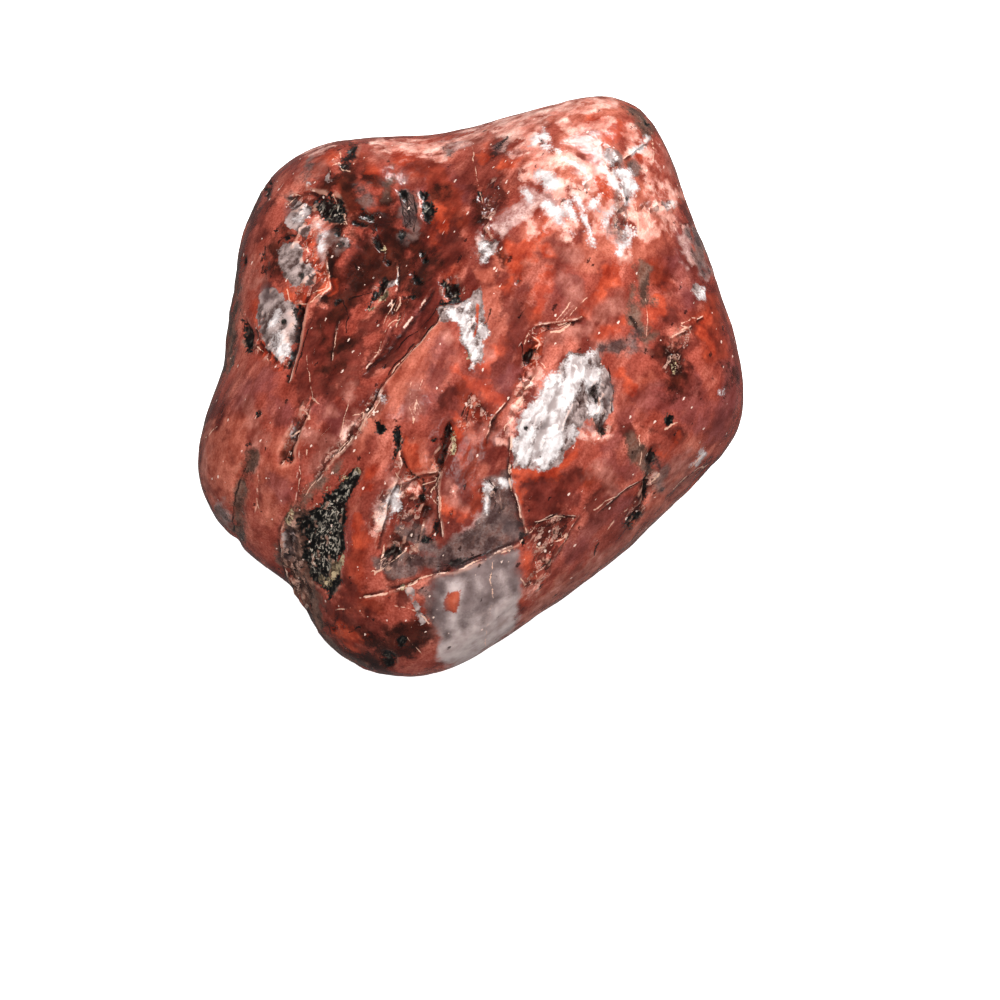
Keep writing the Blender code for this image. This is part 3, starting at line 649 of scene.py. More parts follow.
        "top rim": [(440, 142, 3), (470, 131, 4), (500, 123, 5), (530, 116, 6), (556, 109, 4)],
        "grey top": [(450, 150, 5), (466, 142, 4)],
        "glare": [(508, 220, 8), (528, 206, 10), (550, 196, 10), (566, 190, 6)],
        "glare low": [(500, 228, 4), (512, 222, 5)],
        "streaks": [(606, 152, 4), (618, 184, 4), (628, 196, 4)],
        "streaks low": [(612, 222, 4), (620, 236, 5)],
        "right rim": [(692, 228, 4), (700, 252, 5), (707, 274, 3)],
        "glint band": [(396, 484, 5), (386, 502, 7), (376, 522, 5)],
        "left foot": [(218, 506, 4), (226, 518, 4)],
        "quartz edge": [(582, 424, 7), (594, 432, 5)],
        "upper left rim": [(300, 150, 4), (322, 144, 4)],
        "smudge streak": [(512, 150, 2), (526, 146, 2), (540, 142, 3)],
        "streak": [(318, 221, 4), (322, 238, 3.5), (322, 256, 3)],
        "sparkle": [(481, 238, 4), (487, 254, 5)],
        "glare middle": [(530, 190, 8), (548, 206, 10), (566, 214, 7)],
        "right rim wide": [(684, 242, 7), (690, 258, 7)],
        "low middle": [(466, 530, 7), (480, 520, 6)],
    },
    "rust": {
        "eye ring": [(344, 188, 9), (350, 206, 10), (366, 214, 8), (384, 206, 8), (386, 188, 9),
            (368, 176, 8)],
        "mica side": [(364, 534, 7), (358, 560, 10), (352, 590, 12)],
        "bottom lobe": [(334, 618, 10), (350, 604, 14), (376, 604, 12)],
        "hollow middle": [(440, 240, 14), (452, 256, 14), (446, 276, 10)],
        "upper orange": [(432, 172, 12), (446, 196, 14), (456, 222, 10)],
        "red middle": [(462, 386, 11), (472, 404, 13), (490, 414, 11), (482, 430, 7)],
        "right corner": [(700, 320, 12), (716, 350, 14), (710, 300, 8)],
        "under the shoulder": [(330, 176, 6), (340, 180, 6)],
        "band left": [(468, 470, 8), (478, 496, 10), (470, 516, 8)],
        "beside the slab": [(470, 350, 6), (500, 352, 8), (512, 330, 6)],
        "mid right": [(650, 268, 10), (668, 286, 10)],
        "lower middle": [(560, 486, 8), (590, 480, 10)],
        "low of sparkle": [(508, 286, 8), (520, 268, 8)],
        "low middle": [(458, 440, 8), (470, 456, 9), (484, 446, 6)],
        "slab": [(318, 316, 8), (330, 330, 8), (320, 360, 8), (308, 384, 6)],
        "shoulder band": [(318, 168, 7), (326, 152, 6), (338, 138, 5)],
        "upper middle": [(420, 168, 8), (410, 176, 6)],
        "right of the wedge": [(524, 302, 8), (532, 316, 9)],
        "upper left ground": [(346, 168, 10), (362, 162, 8)],
    },
}

# Thin lines on the seen side: pale seams and dark cracks, as (x, y, half width). The crest shadow, torn
# shadow and band edge cracks are painted shadow at a ledge's foot, and the torn ledge and lilac glints
# seams are painted highlight
SEEN_LINES = {
    "seam": {
        "black grain rim": [(340, 154, 0.7), (340, 166, 0.7), (348, 170, 0.7)],
        "eye lines": [(334, 196, 0.6), (338, 208, 0.7), (346, 222, 0.6)],
        "stripe rim": [(300, 232, 0.7), (305, 246, 0.7), (308, 256, 0.6)],
        "granular rim": [(287, 291, 0.7), (290, 302, 0.7), (300, 304, 1), (314, 302, 0.8),
            (318, 296, 0.7)],
        "torn rims": [(322, 262, 0.7), (330, 274, 0.8), (326, 288, 0.7), (316, 292, 0.7)],
        "steep line": [(397, 268, 0.4), (397, 290, 0.5), (391, 310, 0.5), (384, 326, 0.3)],
        "leaf": [(375, 353, 0.7), (384, 342, 0.6), (395, 332, 0.8), (398, 318, 0.7), (394, 320, 0.6),
            (384, 334, 0.6), (376, 350, 0.6)],
        "crest": [(437, 320, 0.6), (424, 335, 0.7), (408, 352, 0.5), (396, 366, 0.7), (386, 380, 0.7)],
        "crest low": [(380, 400, 0.7), (366, 420, 0.6), (352, 436, 0.7), (338, 454, 0.5)],
        "crest foot": [(338, 454, 0.5), (318, 478, 0.4), (300, 500, 0.5), (291, 512, 0.4)],
        "long scratch": [(336, 327, 0.2), (335, 340, 0.4), (333, 355, 0.2)],
        "left scratch": [(257, 478, 0.6), (257, 508, 0.6)],
        "middle scratch": [(299, 458, 0.6), (298, 504, 0.6)],
        "hollow scratch": [(348, 398, 0.4), (341, 434, 0.4)],
        "pit rim": [(304, 411, 0.8), (310, 417, 1.3), (302, 426, 1), (292, 434, 0.8)],
        "pit foot": [(278, 462, 0.7), (284, 461, 0.7), (292, 454, 0.6)],
        "left dashes": [(208, 436, 0.7), (215, 429, 0.7)],
        "golden crack": [(362, 597, 0.7), (384, 594, 1), (404, 586, 1.3), (424, 578, 1), (442, 571, 0.7),
            (466, 567, 0.8), (492, 557, 0.8), (514, 549, 1), (522, 542, 0.7)],
        "curved crack": [(403, 553, 0.7), (386, 566, 0.7), (377, 573, 0.7)],
        "seam": [(512, 440, 0.7), (510, 462, 0.8), (510, 480, 1.3), (513, 496, 0.8), (519, 513, 0.7),
            (526, 530, 0.7)],
        "quartz crack": [(492, 562, 0.8), (489, 580, 1), (492, 598, 1), (488, 622, 1), (484, 644, 0.8)],
        # Painted highlight along the torn ledge's edge
        "torn ledge": [(537, 326, 0.8), (546, 323, 0.8), (560, 324, 0.7), (579, 318, 0.7)],
        "torn ledge low": [(553, 332, 1), (562, 330, 1.4), (573, 322, 1)],
        "torn edges": [(526, 340, 0.7), (530, 332, 0.8), (540, 340, 0.7), (536, 356, 0.7),
            (543, 366, 0.7)],
        "torn foot": [(530, 384, 0.7), (524, 398, 0.8), (516, 414, 0.7)],
        "top line": [(472, 146, 0.6), (477, 178, 0.6), (483, 206, 0.6)],
        "right chips": [(684, 322, 0.8), (692, 318, 0.8), (699, 319, 0.7)],
        "right chips low": [(674, 336, 1.4), (684, 329, 1.4)],
        "slope lines": [(636, 210, 0.7), (637, 232, 0.7)],
        "slope lines right": [(650, 204, 0.8), (646, 218, 0.7), (641, 230, 0.7)],
        "corner line": [(652, 132, 0.7), (654, 150, 0.7), (650, 166, 0.7)],
        "oval scratches": [(566, 318, 0.6), (584, 300, 0.6)],
        "oval scratches left": [(556, 320, 0.6), (568, 304, 0.6)],
        "thin line": [(640, 438, 0.5), (641, 462, 0.5)],
        "dash line": [(597, 509, 0.7), (606, 502, 0.7), (619, 495, 0.7), (640, 482, 0.7)],
        "pale arc": [(608, 530, 0.6), (614, 521, 0.7), (627, 511, 0.7)],
        "slit chips right": [(658, 476, 1), (654, 484, 0.7)],
        "chip bed": [(532, 530, 0.7), (540, 521, 0.7), (556, 516, 0.8), (572, 518, 0.7)],
        "chip bed low": [(538, 548, 1), (548, 548, 0.7), (556, 542, 0.8), (566, 536, 0.7)],
        "chip bed right": [(560, 522, 0.7), (566, 532, 0.7), (562, 548, 0.7)],
        "pale chips": [(522, 580, 0.8), (528, 588, 0.8), (532, 598, 0.7)],
        "pale chips right": [(537, 572, 0.7), (536, 586, 0.7)],
        "spot rim": [(666, 428, 1), (673, 424, 0.7)],
        "groove edge": [(706, 468, 0.7), (690, 476, 0.7), (676, 488, 0.7)],
        "capsule": [(693, 467, 0.7), (698, 458, 0.6), (704, 450, 0.7)],
        "slit rim": [(444, 470, 0.7), (438, 478, 0.7), (430, 492, 0.7), (436, 506, 0.7)],
        "block rims": [(396, 472, 0.7), (400, 484, 0.7), (396, 500, 0.6)],
        "broken rims": [(424, 484, 0.7), (434, 480, 0.7), (440, 498, 0.7), (438, 520, 0.7)],
        "rough rims": [(380, 560, 0.7), (376, 572, 0.7), (382, 548, 0.7)],
        # Painted glints
        "lilac glints": [(398, 606, 0.7), (406, 607, 0.7), (424, 616, 0.7), (428, 622, 0.7)],
        "flake lines": [(420, 386, 0.6), (415, 404, 0.7), (413, 420, 0.6)],
        "rim flake": [(256, 204, 0.7), (258, 212, 0.7)],
        "lump rim": [(288, 200, 0.6), (294, 192, 0.6), (306, 194, 0.6)],
        "quartz foot rims": [(258, 348, 0.7), (266, 356, 0.7), (272, 364, 0.7)],
        "torn bits": [(312, 398, 1), (317, 402, 0.8)],
        "loop": [(356, 414, 0.8), (364, 412, 0.8), (362, 419, 0.8)],
        "mica side dashes": [(347, 544, 0.7), (348, 552, 0.6)],
        "dash": [(306, 452, 0.7), (308, 462, 0.6)],
        "low dashes": [(338, 610, 0.6), (348, 607, 0.6)],
        "bottom scratch": [(408, 640, 0.4), (426, 660, 0.4)],
        "beige line": [(646, 296, 0.5), (647, 334, 0.5)],
        "flake line left": [(410, 386, 0.5), (408, 404, 0.6), (412, 420, 0.5)],
        "flake line right": [(421, 384, 0.5), (416, 398, 0.6), (420, 410, 0.5)],
        "left thin": [(307, 356, 0.3), (309, 376, 0.5), (312, 394, 0.4)],
        "cluster rim": [(340, 204, 0.6), (344, 214, 0.7), (341, 222, 0.6)],
        "shoulder rim": [(328, 176, 0.6), (331, 166, 0.7), (338, 160, 0.5)],
        "quartz left rim": [(536, 372, 0.7), (526, 388, 0.8), (514, 412, 0.8), (506, 428, 0.6)],
        "leaf right": [(398, 297, 0.8), (400, 304, 0.8), (396, 309, 0.6)],
    },
    "crack": {
        "granular spots": [(295, 233, 2.5), (286, 235, 2.5)],
        "spot rim": [(361, 272, 2), (355, 264, 1.5)],
        "band edge": [(386, 352, 1.2), (404, 334, 1.2), (424, 320, 1), (434, 308, 1)],
        "crest shadow": [(430, 326, 1.2), (412, 344, 1.2), (394, 364, 1.2), (380, 384, 1.5)],
        "dark speck low": [(521, 315, 2), (524, 310, 1.2)],
        "soft spot": [(381, 427, 3), (381, 421, 1.5)],
        "left seam": [(232, 530, 1), (234, 500, 1), (240, 478, 1), (246, 462, 1)],
        "groove": [(404, 464, 2), (410, 472, 3), (422, 480, 3)],
        "groove low": [(422, 480, 2), (424, 498, 2)],
        "band line": [(440, 568, 1), (462, 564, 1.6), (484, 556, 1.2)],
        "dots right": [(352, 630, 1.6), (358, 628, 1.4)],
        "dark cut": [(548, 560, 1.5), (540, 572, 1.2)],
        "low dark": [(598, 546, 1.5), (595, 553, 1)],
        "milky edge": [(608, 368, 1), (613, 392, 1), (612, 410, 1)],
        "seam side": [(513, 452, 1), (512, 466, 1)],
        "torn shadow": [(522, 346, 1.2), (524, 362, 1.2)],
        "band dark": [(632, 318, 2.5), (637, 330, 2.5)],
        "left dash": [(266, 256, 1), (262, 270, 1)],
        "cross crack": [(312, 318, 0.8), (304, 344, 0.8), (296, 372, 0.8)],
        "upper line": [(330, 176, 1.5), (328, 168, 1.5)],
        "hollow line": [(352, 296, 1), (368, 290, 1)],
        "red middle": [(470, 396, 1), (462, 414, 1)],
        "left of the grey": [(264, 246, 1), (265, 262, 1.6), (266, 280, 1)],
        "lower left of the grey": [(276, 262, 1), (272, 274, 1.4)],
        "slab edge": [(344, 300, 0.8), (348, 316, 1), (346, 330, 0.6)],
        "right of the wedge": [(489, 312, 1), (486, 322, 1.6), (483, 326, 1)],
        "red joint": [(470, 398, 0.8), (468, 412, 1), (466, 428, 0.6)],
        "smudge core": [(495, 151, 1.6), (500, 145, 2.2), (507, 138, 1.5)],
        "fibres": [(406, 192, 1), (408, 206, 1.6), (410, 222, 1)],
        "fibres right": [(413, 196, 1), (416, 210, 1.4), (414, 226, 1)],
        "fibres left": [(401, 196, 1), (402, 210, 1.2), (405, 222, 0.8)],
        "wedge side": [(489, 312, 1), (487, 322, 1.4)],
        "below the eye": [(358, 224, 1.2), (366, 226, 1.6), (372, 222, 1)],
        "purple top": [(492, 482, 1), (498, 492, 1.4), (496, 504, 1)],
    },
}

# Swells, and hollows with a height below zero: the path's points as (x, y, half width), and the height
FORMS = {
    "dark hollow": ([(392, 214, 16), (386, 256, 20), (352, 298, 16)], -0.45),
    "upper left pocket": ([(300, 204, 12), (326, 214, 14), (300, 256, 14), (322, 274, 10)], -0.3),
    "glossy band": ([(432, 302, 7), (402, 342, 10), (368, 370, 8)], -0.3),
    "lump pocket": ([(452, 288, 11)], -0.45),
    "left quartz side": ([(298, 312, 5), (292, 350, 5)], -0.25),
    "left edge pit": ([(246, 332, 7)], -0.35),
    "fibrous hollow": ([(406, 196, 6), (414, 232, 8)], -0.2),
    "black grain pit": ([(350, 148, 5), (343, 166, 5)], -0.2),
    "sparkle hollow": ([(498, 192, 10), (488, 244, 10)], -0.3),
    "left seam": ([(252, 454, 5), (241, 484, 5), (237, 540, 4)], -0.25),
    "blue pit": ([(296, 422, 4), (282, 458, 5)], -0.4),
    "broken middle": ([(402, 474, 14), (416, 512, 18), (396, 552, 14)], -0.4),
    "purple band": ([(442, 560, 8), (480, 546, 12), (510, 528, 10)], -0.3),
    "slit": ([(450, 424, 4), (440, 464, 5)], -0.3),
    "quartz pit": ([(594, 392, 7)], -0.5),
    "milky cavity": ([(602, 426, 6)], -0.5),
    "milky groove": ([(566, 376, 3), (548, 412, 3), (536, 456, 3)], -0.22),
    "torn hollow": ([(532, 344, 8), (528, 372, 8)], -0.35),
    "right slit": ([(653, 452, 5), (649, 496, 5)], -0.35),
    "right groove": ([(710, 466, 4), (690, 481, 4), (670, 500, 4)], -0.15),
    "right hollow": ([(670, 360, 12)], -0.2),
    "mica side hollow": ([(288, 540, 8), (292, 570, 7), (308, 604, 6)], -0.3),
    "chip bed": ([(540, 540, 10), (560, 524, 10)], -0.15),
    "middle slab": ([(440, 338, 12), (416, 384, 16)], 0.35),
    "salmon blob": ([(414, 452, 12), (424, 466, 12)], 0.3),
    "left quartz": ([(282, 336, 10)], 0.2),
    "low quartz": ([(476, 606, 24)], 0.12),
    "milky left ridge": ([(548, 392, 6), (526, 434, 8)], 0.18),
    "milky right ridge": ([(574, 380, 7), (552, 440, 8)], 0.25),
    "glare swell": ([(560, 162, 12), (592, 190, 14)], 0.25),
    "slope swell": ([(654, 220, 14), (668, 262, 12)], 0.25),
    "orange streak": ([(368, 500, 8), (356, 570, 10)], 0.25),
    "inclusion": ([(452, 600, 6)], 0.1),
    "left strip": ([(236, 290, 5), (232, 350, 5)], -0.15),
}

# Steps in the surface: a path with the low ground on its right, the drop, and how far that reaches
LEDGES = {
    "crest": ([(437, 320), (410, 350), (386, 382), (352, 436), (318, 480)], 0.24, 1.8),
    "golden crack": ([(522, 542), (480, 561), (440, 572), (404, 586), (366, 597)], 0.17, 1),
    "torn ledge": ([(536, 327), (556, 323), (580, 318)], 0.28, 0.9),
    "seam": ([(512, 440), (510, 480), (519, 513), (526, 532)], 0.18, 0.8),
    "left of the break": ([(378, 545), (388, 505), (400, 470), (402, 440)], 0.28, 1),
    "right of the break": ([(440, 470), (436, 500), (440, 532)], 0.22, 0.9),
    "under the blob": ([(400, 484), (416, 476), (434, 474)], 0.2, 0.8),
    "pocket top": ([(290, 196), (310, 190), (334, 196)], 0.22, 1.2),
    "torn orange": ([(318, 302), (332, 286), (326, 258)], 0.22, 0.8),
    "steep line": ([(390, 314), (397, 290), (396, 266)], 0.14, 0.8),
    "band top": ([(366, 366), (400, 330), (430, 292)], 0.16, 0.8),
    "flake edge": ([(336, 326), (334, 340), (332, 358)], 0.1, 0.6),
    "right chips": ([(674, 338), (686, 328), (700, 319)], 0.2, 0.8),
    "chip bed": ([(538, 522), (556, 515), (576, 518)], 0.14, 0.6),
    "chip bed side": ([(560, 552), (568, 536), (578, 520)], 0.14, 0.6),
    "corner edge": ([(626, 156), (640, 146), (650, 138)], 0.14, 0.6),
    "left rim flake": ([(262, 190), (256, 204), (250, 218)], 0.14, 0.8),
    "left scratch": ([(257, 510), (257, 476)], 0.07, 0.5),
    "middle scratch": ([(298, 506), (299, 456)], 0.07, 0.5),
    "left quartz foot": ([(256, 330), (268, 350), (284, 364)], 0.14, 0.6),
    "flake": ([(376, 354), (388, 334), (398, 314)], 0.16, 0.6),
    "red middle": ([(486, 440), (492, 420), (506, 400)], 0.14, 0.6),
    "dash line": ([(598, 510), (619, 496), (640, 482)], 0.1, 0.6),
    "second lobe": ([(310, 412), (300, 428), (282, 462)], 0.18, 0.7),
    "slit left": ([(306, 306), (301, 330), (297, 352), (290, 380)], 0.25, 0.6),
    "pocket left": ([(292, 506), (279, 530), (279, 562), (296, 598), (316, 628)], 0.18, 0.8),
}

# Where the surface is broken and not worn smooth
BREAKS = {
    "upper left": [(296, 204, 9), (322, 212, 12), (300, 250, 10), (318, 276, 9), (300, 298, 8)],
    "left quartz foot": [(262, 346, 8), (280, 362, 6)],
    "steep crack": [(382, 290, 8)],
    "lump": [(452, 288, 11)],
    "sparkle": [(496, 184, 4), (488, 212, 5), (485, 240, 5), (486, 256, 6)],
    "middle": [(398, 470, 8), (414, 500, 16), (404, 548, 14)],
    "rough corner": [(388, 560, 10)],
    "violet glints": [(470, 404, 7), (490, 424, 8)],
    "torn zone": [(538, 334, 8), (530, 370, 8), (516, 410, 6)],
    "quartz right": [(598, 392, 10), (602, 426, 9)],
    "chip bed": [(536, 544, 10), (560, 526, 10), (534, 584, 8)],
    "right": [(672, 364, 9), (684, 330, 6)],
    "right slit": [(652, 480, 8), (632, 520, 6)],
    "crest": [(382, 396, 7), (364, 416, 8), (346, 440, 6), (318, 476, 4)],
    "pit": [(310, 402, 5), (294, 426, 6), (284, 456, 5)],
    "slit": [(446, 444, 7), (430, 486, 6)],
    "glare": [(608, 150, 4), (624, 186, 5), (618, 230, 6)],
    "slope": [(646, 208, 7), (668, 206, 5)],
    "mica rim": [(290, 524, 6), (288, 560, 8), (304, 596, 6)],
    "purple top": [(490, 490, 8), (500, 506, 6)],
    "glint band": [(388, 500, 8), (378, 524, 6)],
    "red middle low": [(464, 424, 5), (480, 410, 5), (494, 422, 5)],
    "glare middle": [(556, 206, 3), (584, 188, 3)],
}


def smooth_step(values):
    """0 below 0, 1 above 1, and an S curve between."""
    t = np.clip(values, 0, 1)
    return t * t * (3 - 2 * t)


def value_noise(points, cell, seed):
    """Smooth random values from -1 to 1: one to each corner of a lattice of cells, blended between."""
    size = 32
    table = np.random.default_rng(seed).uniform(-1, 1, (size, size, size))
    spots = points / cell
    low = np.floor(spots).astype(int)
    part = smooth_step(spots - low)
    total = np.zeros(len(points))
    for corner in np.ndindex(2, 2, 2):
        share = np.prod(np.where(corner, part, 1 - part), axis=1)
        at = (low + corner) % size
        total += share * table[at[:, 0], at[:, 1], at[:, 2]]
    return total


def layered_noise(points, cell, seed, layers=3):
    """Noise with finer layers on it, each half as large and half as strong as the one before."""
    return sum(value_noise(points, cell / 2**k, seed + k) / 2**k for k in range(layers))


def ball_net():
    """Unit directions, four-cornered cells and each cell corner's place on the map.

    The net is six square patches bent to a ball, so it is even and has no poles. Its points then
    crowd a little towards the camera.
    """
    steps = np.arange(CELLS + 1)
    a, b = np.meshgrid(steps, steps, indexing="ij")
    index = a * (CELLS + 1) + b
    cell = np.stack([index[:-1, :-1], index[1:, :-1], index[1:, 1:], index[:-1, 1:]], -1).reshape(-1, 4)
    lattice, cells, places = [], [], []
    for patch in range(6):
        axis, far = divmod(patch, 2)
        spots = np.empty(a.shape + (3,), int)
        spots[..., axis] = far * CELLS
        spots[..., (axis + 1) % 3] = a if far else b
        spots[..., (axis + 2) % 3] = b if far else a
        lattice.append(spots.reshape(-1, 3))
        cells.append(cell + patch * index.size)
        inside = MAP_MARGIN + (1 - 2 * MAP_MARGIN) * np.stack([a, b], -1).reshape(-1, 2) / CELLS
        places.append((inside + (patch % 3, patch // 3)) / (3, 2))
    lattice, cells, places = np.concatenate(lattice), np.concatenate(cells), np.concatenate(places)
    keys = lattice @ ((CELLS + 1) ** 2, CELLS + 1, 1)
    _, first, shared = np.unique(keys, return_index=True, return_inverse=True)
    # the tangent keeps the cells near the patches' corners as wide as those in their middles
    directions = np.tan((2 * lattice[first] / CELLS - 1) * math.pi / 4)
    directions /= np.linalg.norm(directions, axis=1)[:, None]
    directions += CROWDING * TOWARDS
    directions /= np.linalg.norm(directions, axis=1)[:, None]
    return directions, shared[cells], places[cells]


def evened(values, cells, rounds):
    """The values evened out: in each round, a point takes the mean of the cells round it."""
    corners = cells.ravel()
    count = np.bincount(corners)
    for _ in range(rounds):
        middles = values[cells].mean(1)
        values = np.bincount(corners, np.repeat(middles, 4)) / count
    return values


def surface_normals(points, cells):
    """Outward unit normals at the points."""
    facing = np.cross(points[cells[:, 2]] - points[cells[:, 0]], points[cells[:, 3]] - points[cells[:, 1]])
    corners = cells.ravel()
    total = np.stack([np.bincount(corners, np.repeat(facing[:, k], 4)) for k in range(3)], 1)
    return total / np.linalg.norm(total, axis=1)[:, None]


def reach_of_solid(directions, cells):
    """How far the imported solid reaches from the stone's middle in each direction, with no facets."""
    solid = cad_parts["stone"].data
    tree = BVHTree.FromPolygons([v.co for v in solid.vertices], [p.vertices for p in solid.polygons])
    middle = STONE_MIDDLE * MM
    reach = np.array([tree.ray_cast(middle, way)[3] for way in directions]) / MM
    return evened(reach, cells, SMOOTHING)


def photo_places(points):
    """Where the camera sees the points, in the photograph's pixels."""
    offset = points - STONE_MIDDLE
    nearer = CAMERA_DISTANCE / (CAMERA_DISTANCE - offset @ TOWARDS)
    x = PIXELS / 2 + (offset @ RIGHT - AIM_RIGHT) * nearer / PIXEL
    y = PIXELS / 2 - (offset @ UP - AIM_UP) * nearer / PIXEL
    return np.stack([x, y], 1)


def swayed(points, cell, amount, seed):
    """The points moved about by noise, so that shapes laid on them lose their straight edges."""
    return points + amount * np.stack([layered_noise(points, cell, seed + 10 * k) for k in range(3)], 1)


def vein_distance(places, vein):
    """Distance from a vein's edge, below zero inside it."""
    vein = np.array(vein, float)
    if len(vein) == 1:
        return np.linalg.norm(places - vein[0, :2], axis=1) - vein[0, 2]
    nearest = np.full(len(places), np.inf)
    for start, end in zip(vein[:-1], vein[1:]):
        run = end - start
        along = np.clip((places - start[:2]) @ run[:2] / (run[:2] @ run[:2]), 0, 1)
        spot = start + along[:, None] * run
        nearest = np.minimum(nearest, np.linalg.norm(places - spot[:, :2], axis=1) - spot[:, 2])
    return nearest


def outline_distance(places, outline):
    """Distance from a closed outline, below zero inside it."""
    corners = np.array(outline, float)
    nearest = np.full(len(places), np.inf)
    inside = np.zeros(len(places), bool)
    for start, end in zip(corners, np.roll(corners, -1, axis=0)):
        run = end - start
        along = np.clip((places - start) @ run / (run @ run), 0, 1)
        nearest = np.minimum(nearest, np.linalg.norm(places - start - along[:, None] * run, axis=1))
        crosses = (start[1] > places[:, 1]) != (end[1] > places[:, 1])
        rises = np.where(run[1] == 0, 1.0, run[1])
        inside ^= crosses & (places[:, 0] < start[0] + (places[:, 1] - start[1]) * run[0] / rises)
    return np.where(inside, -nearest, nearest)


def shape_distance(places, shape):
    """Distance from a vein's or an outline's edge, below zero inside it."""
    return (vein_distance if len(shape[0]) == 3 else outline_distance)(places, shape)


def hidden_distance(points, centres, patches, random, drawn_out=DRAWN_OUT):
    """Distance from seeded patches, drawn out along the grain, round centres on the hidden side."""
    count, least, most = patches
    nearest = np.full(len(points), 9.0)
    for centre in centres[random.integers(len(centres), size=count)]:
        half_width = random.uniform(least, most)
        offset = points - centre
        along = offset @ GRAIN_WAY
        squeezed = (offset**2).sum(1) - along**2 * (1 - drawn_out**-2)
        nearest = np.minimum(nearest, np.sqrt(squeezed.clip(0)) - half_width)
    return nearest


def on_both_sides(seen, unseen, hidden):
    """The nearer of two distances, where each counts on its own side of the stone."""
    return np.minimum(seen + FADE * hidden, unseen + FADE * (1 - hidden))


def one_by_one(shapes):
    """The shapes, with each of the "spots" as a shape of its own."""
    for name, shape in shapes.items():
        if name == "spots":
            yield from ([spot] for spot in shape)
        else:
            yield shape


def mineral_distances(points, hidden):
    """For each mineral, the distance of every point from its edge, below zero inside it."""
    random = np.random.default_rng(SEED)
    places = photo_places(swayed(points, 1.7, 0.22, SEED))
    strewn = swayed(points, 1.7, 0.35, SEED + 30)
    centres = points[hidden > 0.5]
    distances = {}
    for name, mineral in MINERALS.items():
        seen = np.minimum.reduce([shape_distance(places, shape) for shape in one_by_one(SEEN[name])])
        unseen = hidden_distance(strewn, centres, mineral.hidden, random, mineral.drawn_out)
        distances[name] = on_both_sides(seen * PIXEL, unseen, hidden)
    return distances


def beside_path(places, path):
    """For each place: how far to the path's right it is, how far past its ends, and the path's width."""
    path = np.array(path, float)
    nearest = np.full(len(places), np.inf)
    side, past, width = (np.zeros(len(places)) for _ in range(3))
    for start, end in zip(path[:-1], path[1:]):
        run = end - start
        length = np.linalg.norm(run[:2])
        offset = places - start[:2]
        along = offset @ run[:2] / length**2
        held = np.clip(along, 0, 1)
        away = np.linalg.norm(offset - held[:, None] * run[:2], axis=1)
        right = (run[0] * offset[:, 1] - run[1] * offset[:, 0]) / length
        closer = away < nearest
        nearest = np.where(closer, away, nearest)
        side = np.where(closer, right, side)
        past = np.where(closer, np.abs(along - held) * length, past)
        width = np.where(closer, start[-1] + held * (end[-1] - start[-1]), width)
    return side, past, width


def beside_hidden_lines(points, normals, hidden, count, least, most, random):
    """As beside_path, in millimetres, for seeded lines on the hidden side. Most run along the grain."""
    centres = np.flatnonzero(hidden > 0.5)
    for at in centres[random.integers(len(centres), size=count)]:
        out = normals[at]
        way = GRAIN_WAY + random.normal(0, HIDDEN_STRAY, 3)
        way = way - (way @ out) * out
        way /= np.linalg.norm(way)
        offset = points - points[at]
        along = offset @ way
        bend = random.normal(0, HIDDEN_BEND)
        side = offset @ np.cross(out, way) + bend * along**2
        past = np.abs(offset @ out) * 0.3 + (np.abs(along) - random.uniform(*HIDDEN_LENGTHS)).clip(0)
        yield side, past + FADE * (1 - hidden), np.full(len(points), random.uniform(least, most))


def nearest_line(lines):
    """Of several lines' (side, past, width), those of the nearest line to each point."""
    lines = iter(lines)
    side, past, width = next(lines)
    for other_side, other_past, other_width in lines:
        closer = np.hypot(other_side, other_past) < np.hypot(side, past)
        side = np.where(closer, other_side, side)
        past = np.where(closer, other_past, past)
        width = np.where(closer, other_width, width)
    return side, past, width


def line_places(points, normals, hidden):
    """For each kind of line: how far across the nearest one each point is, and how near it is."""
    random = np.random.default_rng(SEED + 1)
    places = photo_places(swayed(points, 0.9, 0.13, SEED + 60))
    found = {}
    for name, line in LINES.items():
        seen = []
        for path in SEEN_LINES[name].values():
            side, past, width = beside_path(places, path)
            seen.append((side * PIXEL, past * PIXEL + FADE * hidden, width * PIXEL))
        unseen = beside_hidden_lines(points, normals, hidden, *line.hidden, random)
        side, past, width = nearest_line([*seen, *unseen])
        found[name] = (side / width).clip(-9, 9)
        found[name + "_near"] = 1 - (np.abs(side) / LINE_REACH + past / 0.3)
    return found


def along_grain(points, share):
    """The points squeezed along the grain, which draws out what noise puts on them."""
    return points - share * (points @ GRAIN_WAY)[:, None] * GRAIN_WAY


def blended(first, second, share):
    """Two colours blended at every point, by share of the second."""
    return np.array(first) + (np.array(second) - first) * share[:, None]


def ground_colours(points):
    """The feldspar's own colours, in soft clouds."""
    drawn = along_grain(points, 0.6)
    cloud = layered_noise(drawn, 4.5, SEED + 400, 4)
    patchy = layered_noise(drawn, 1.6, SEED + 500, 4)
    colours = blended(BRICK, DEEP_RED, smooth_step(cloud / 0.9 + 0.3))
    return blended(colours, ROSY, smooth_step(patchy / 0.8 - 0.1))


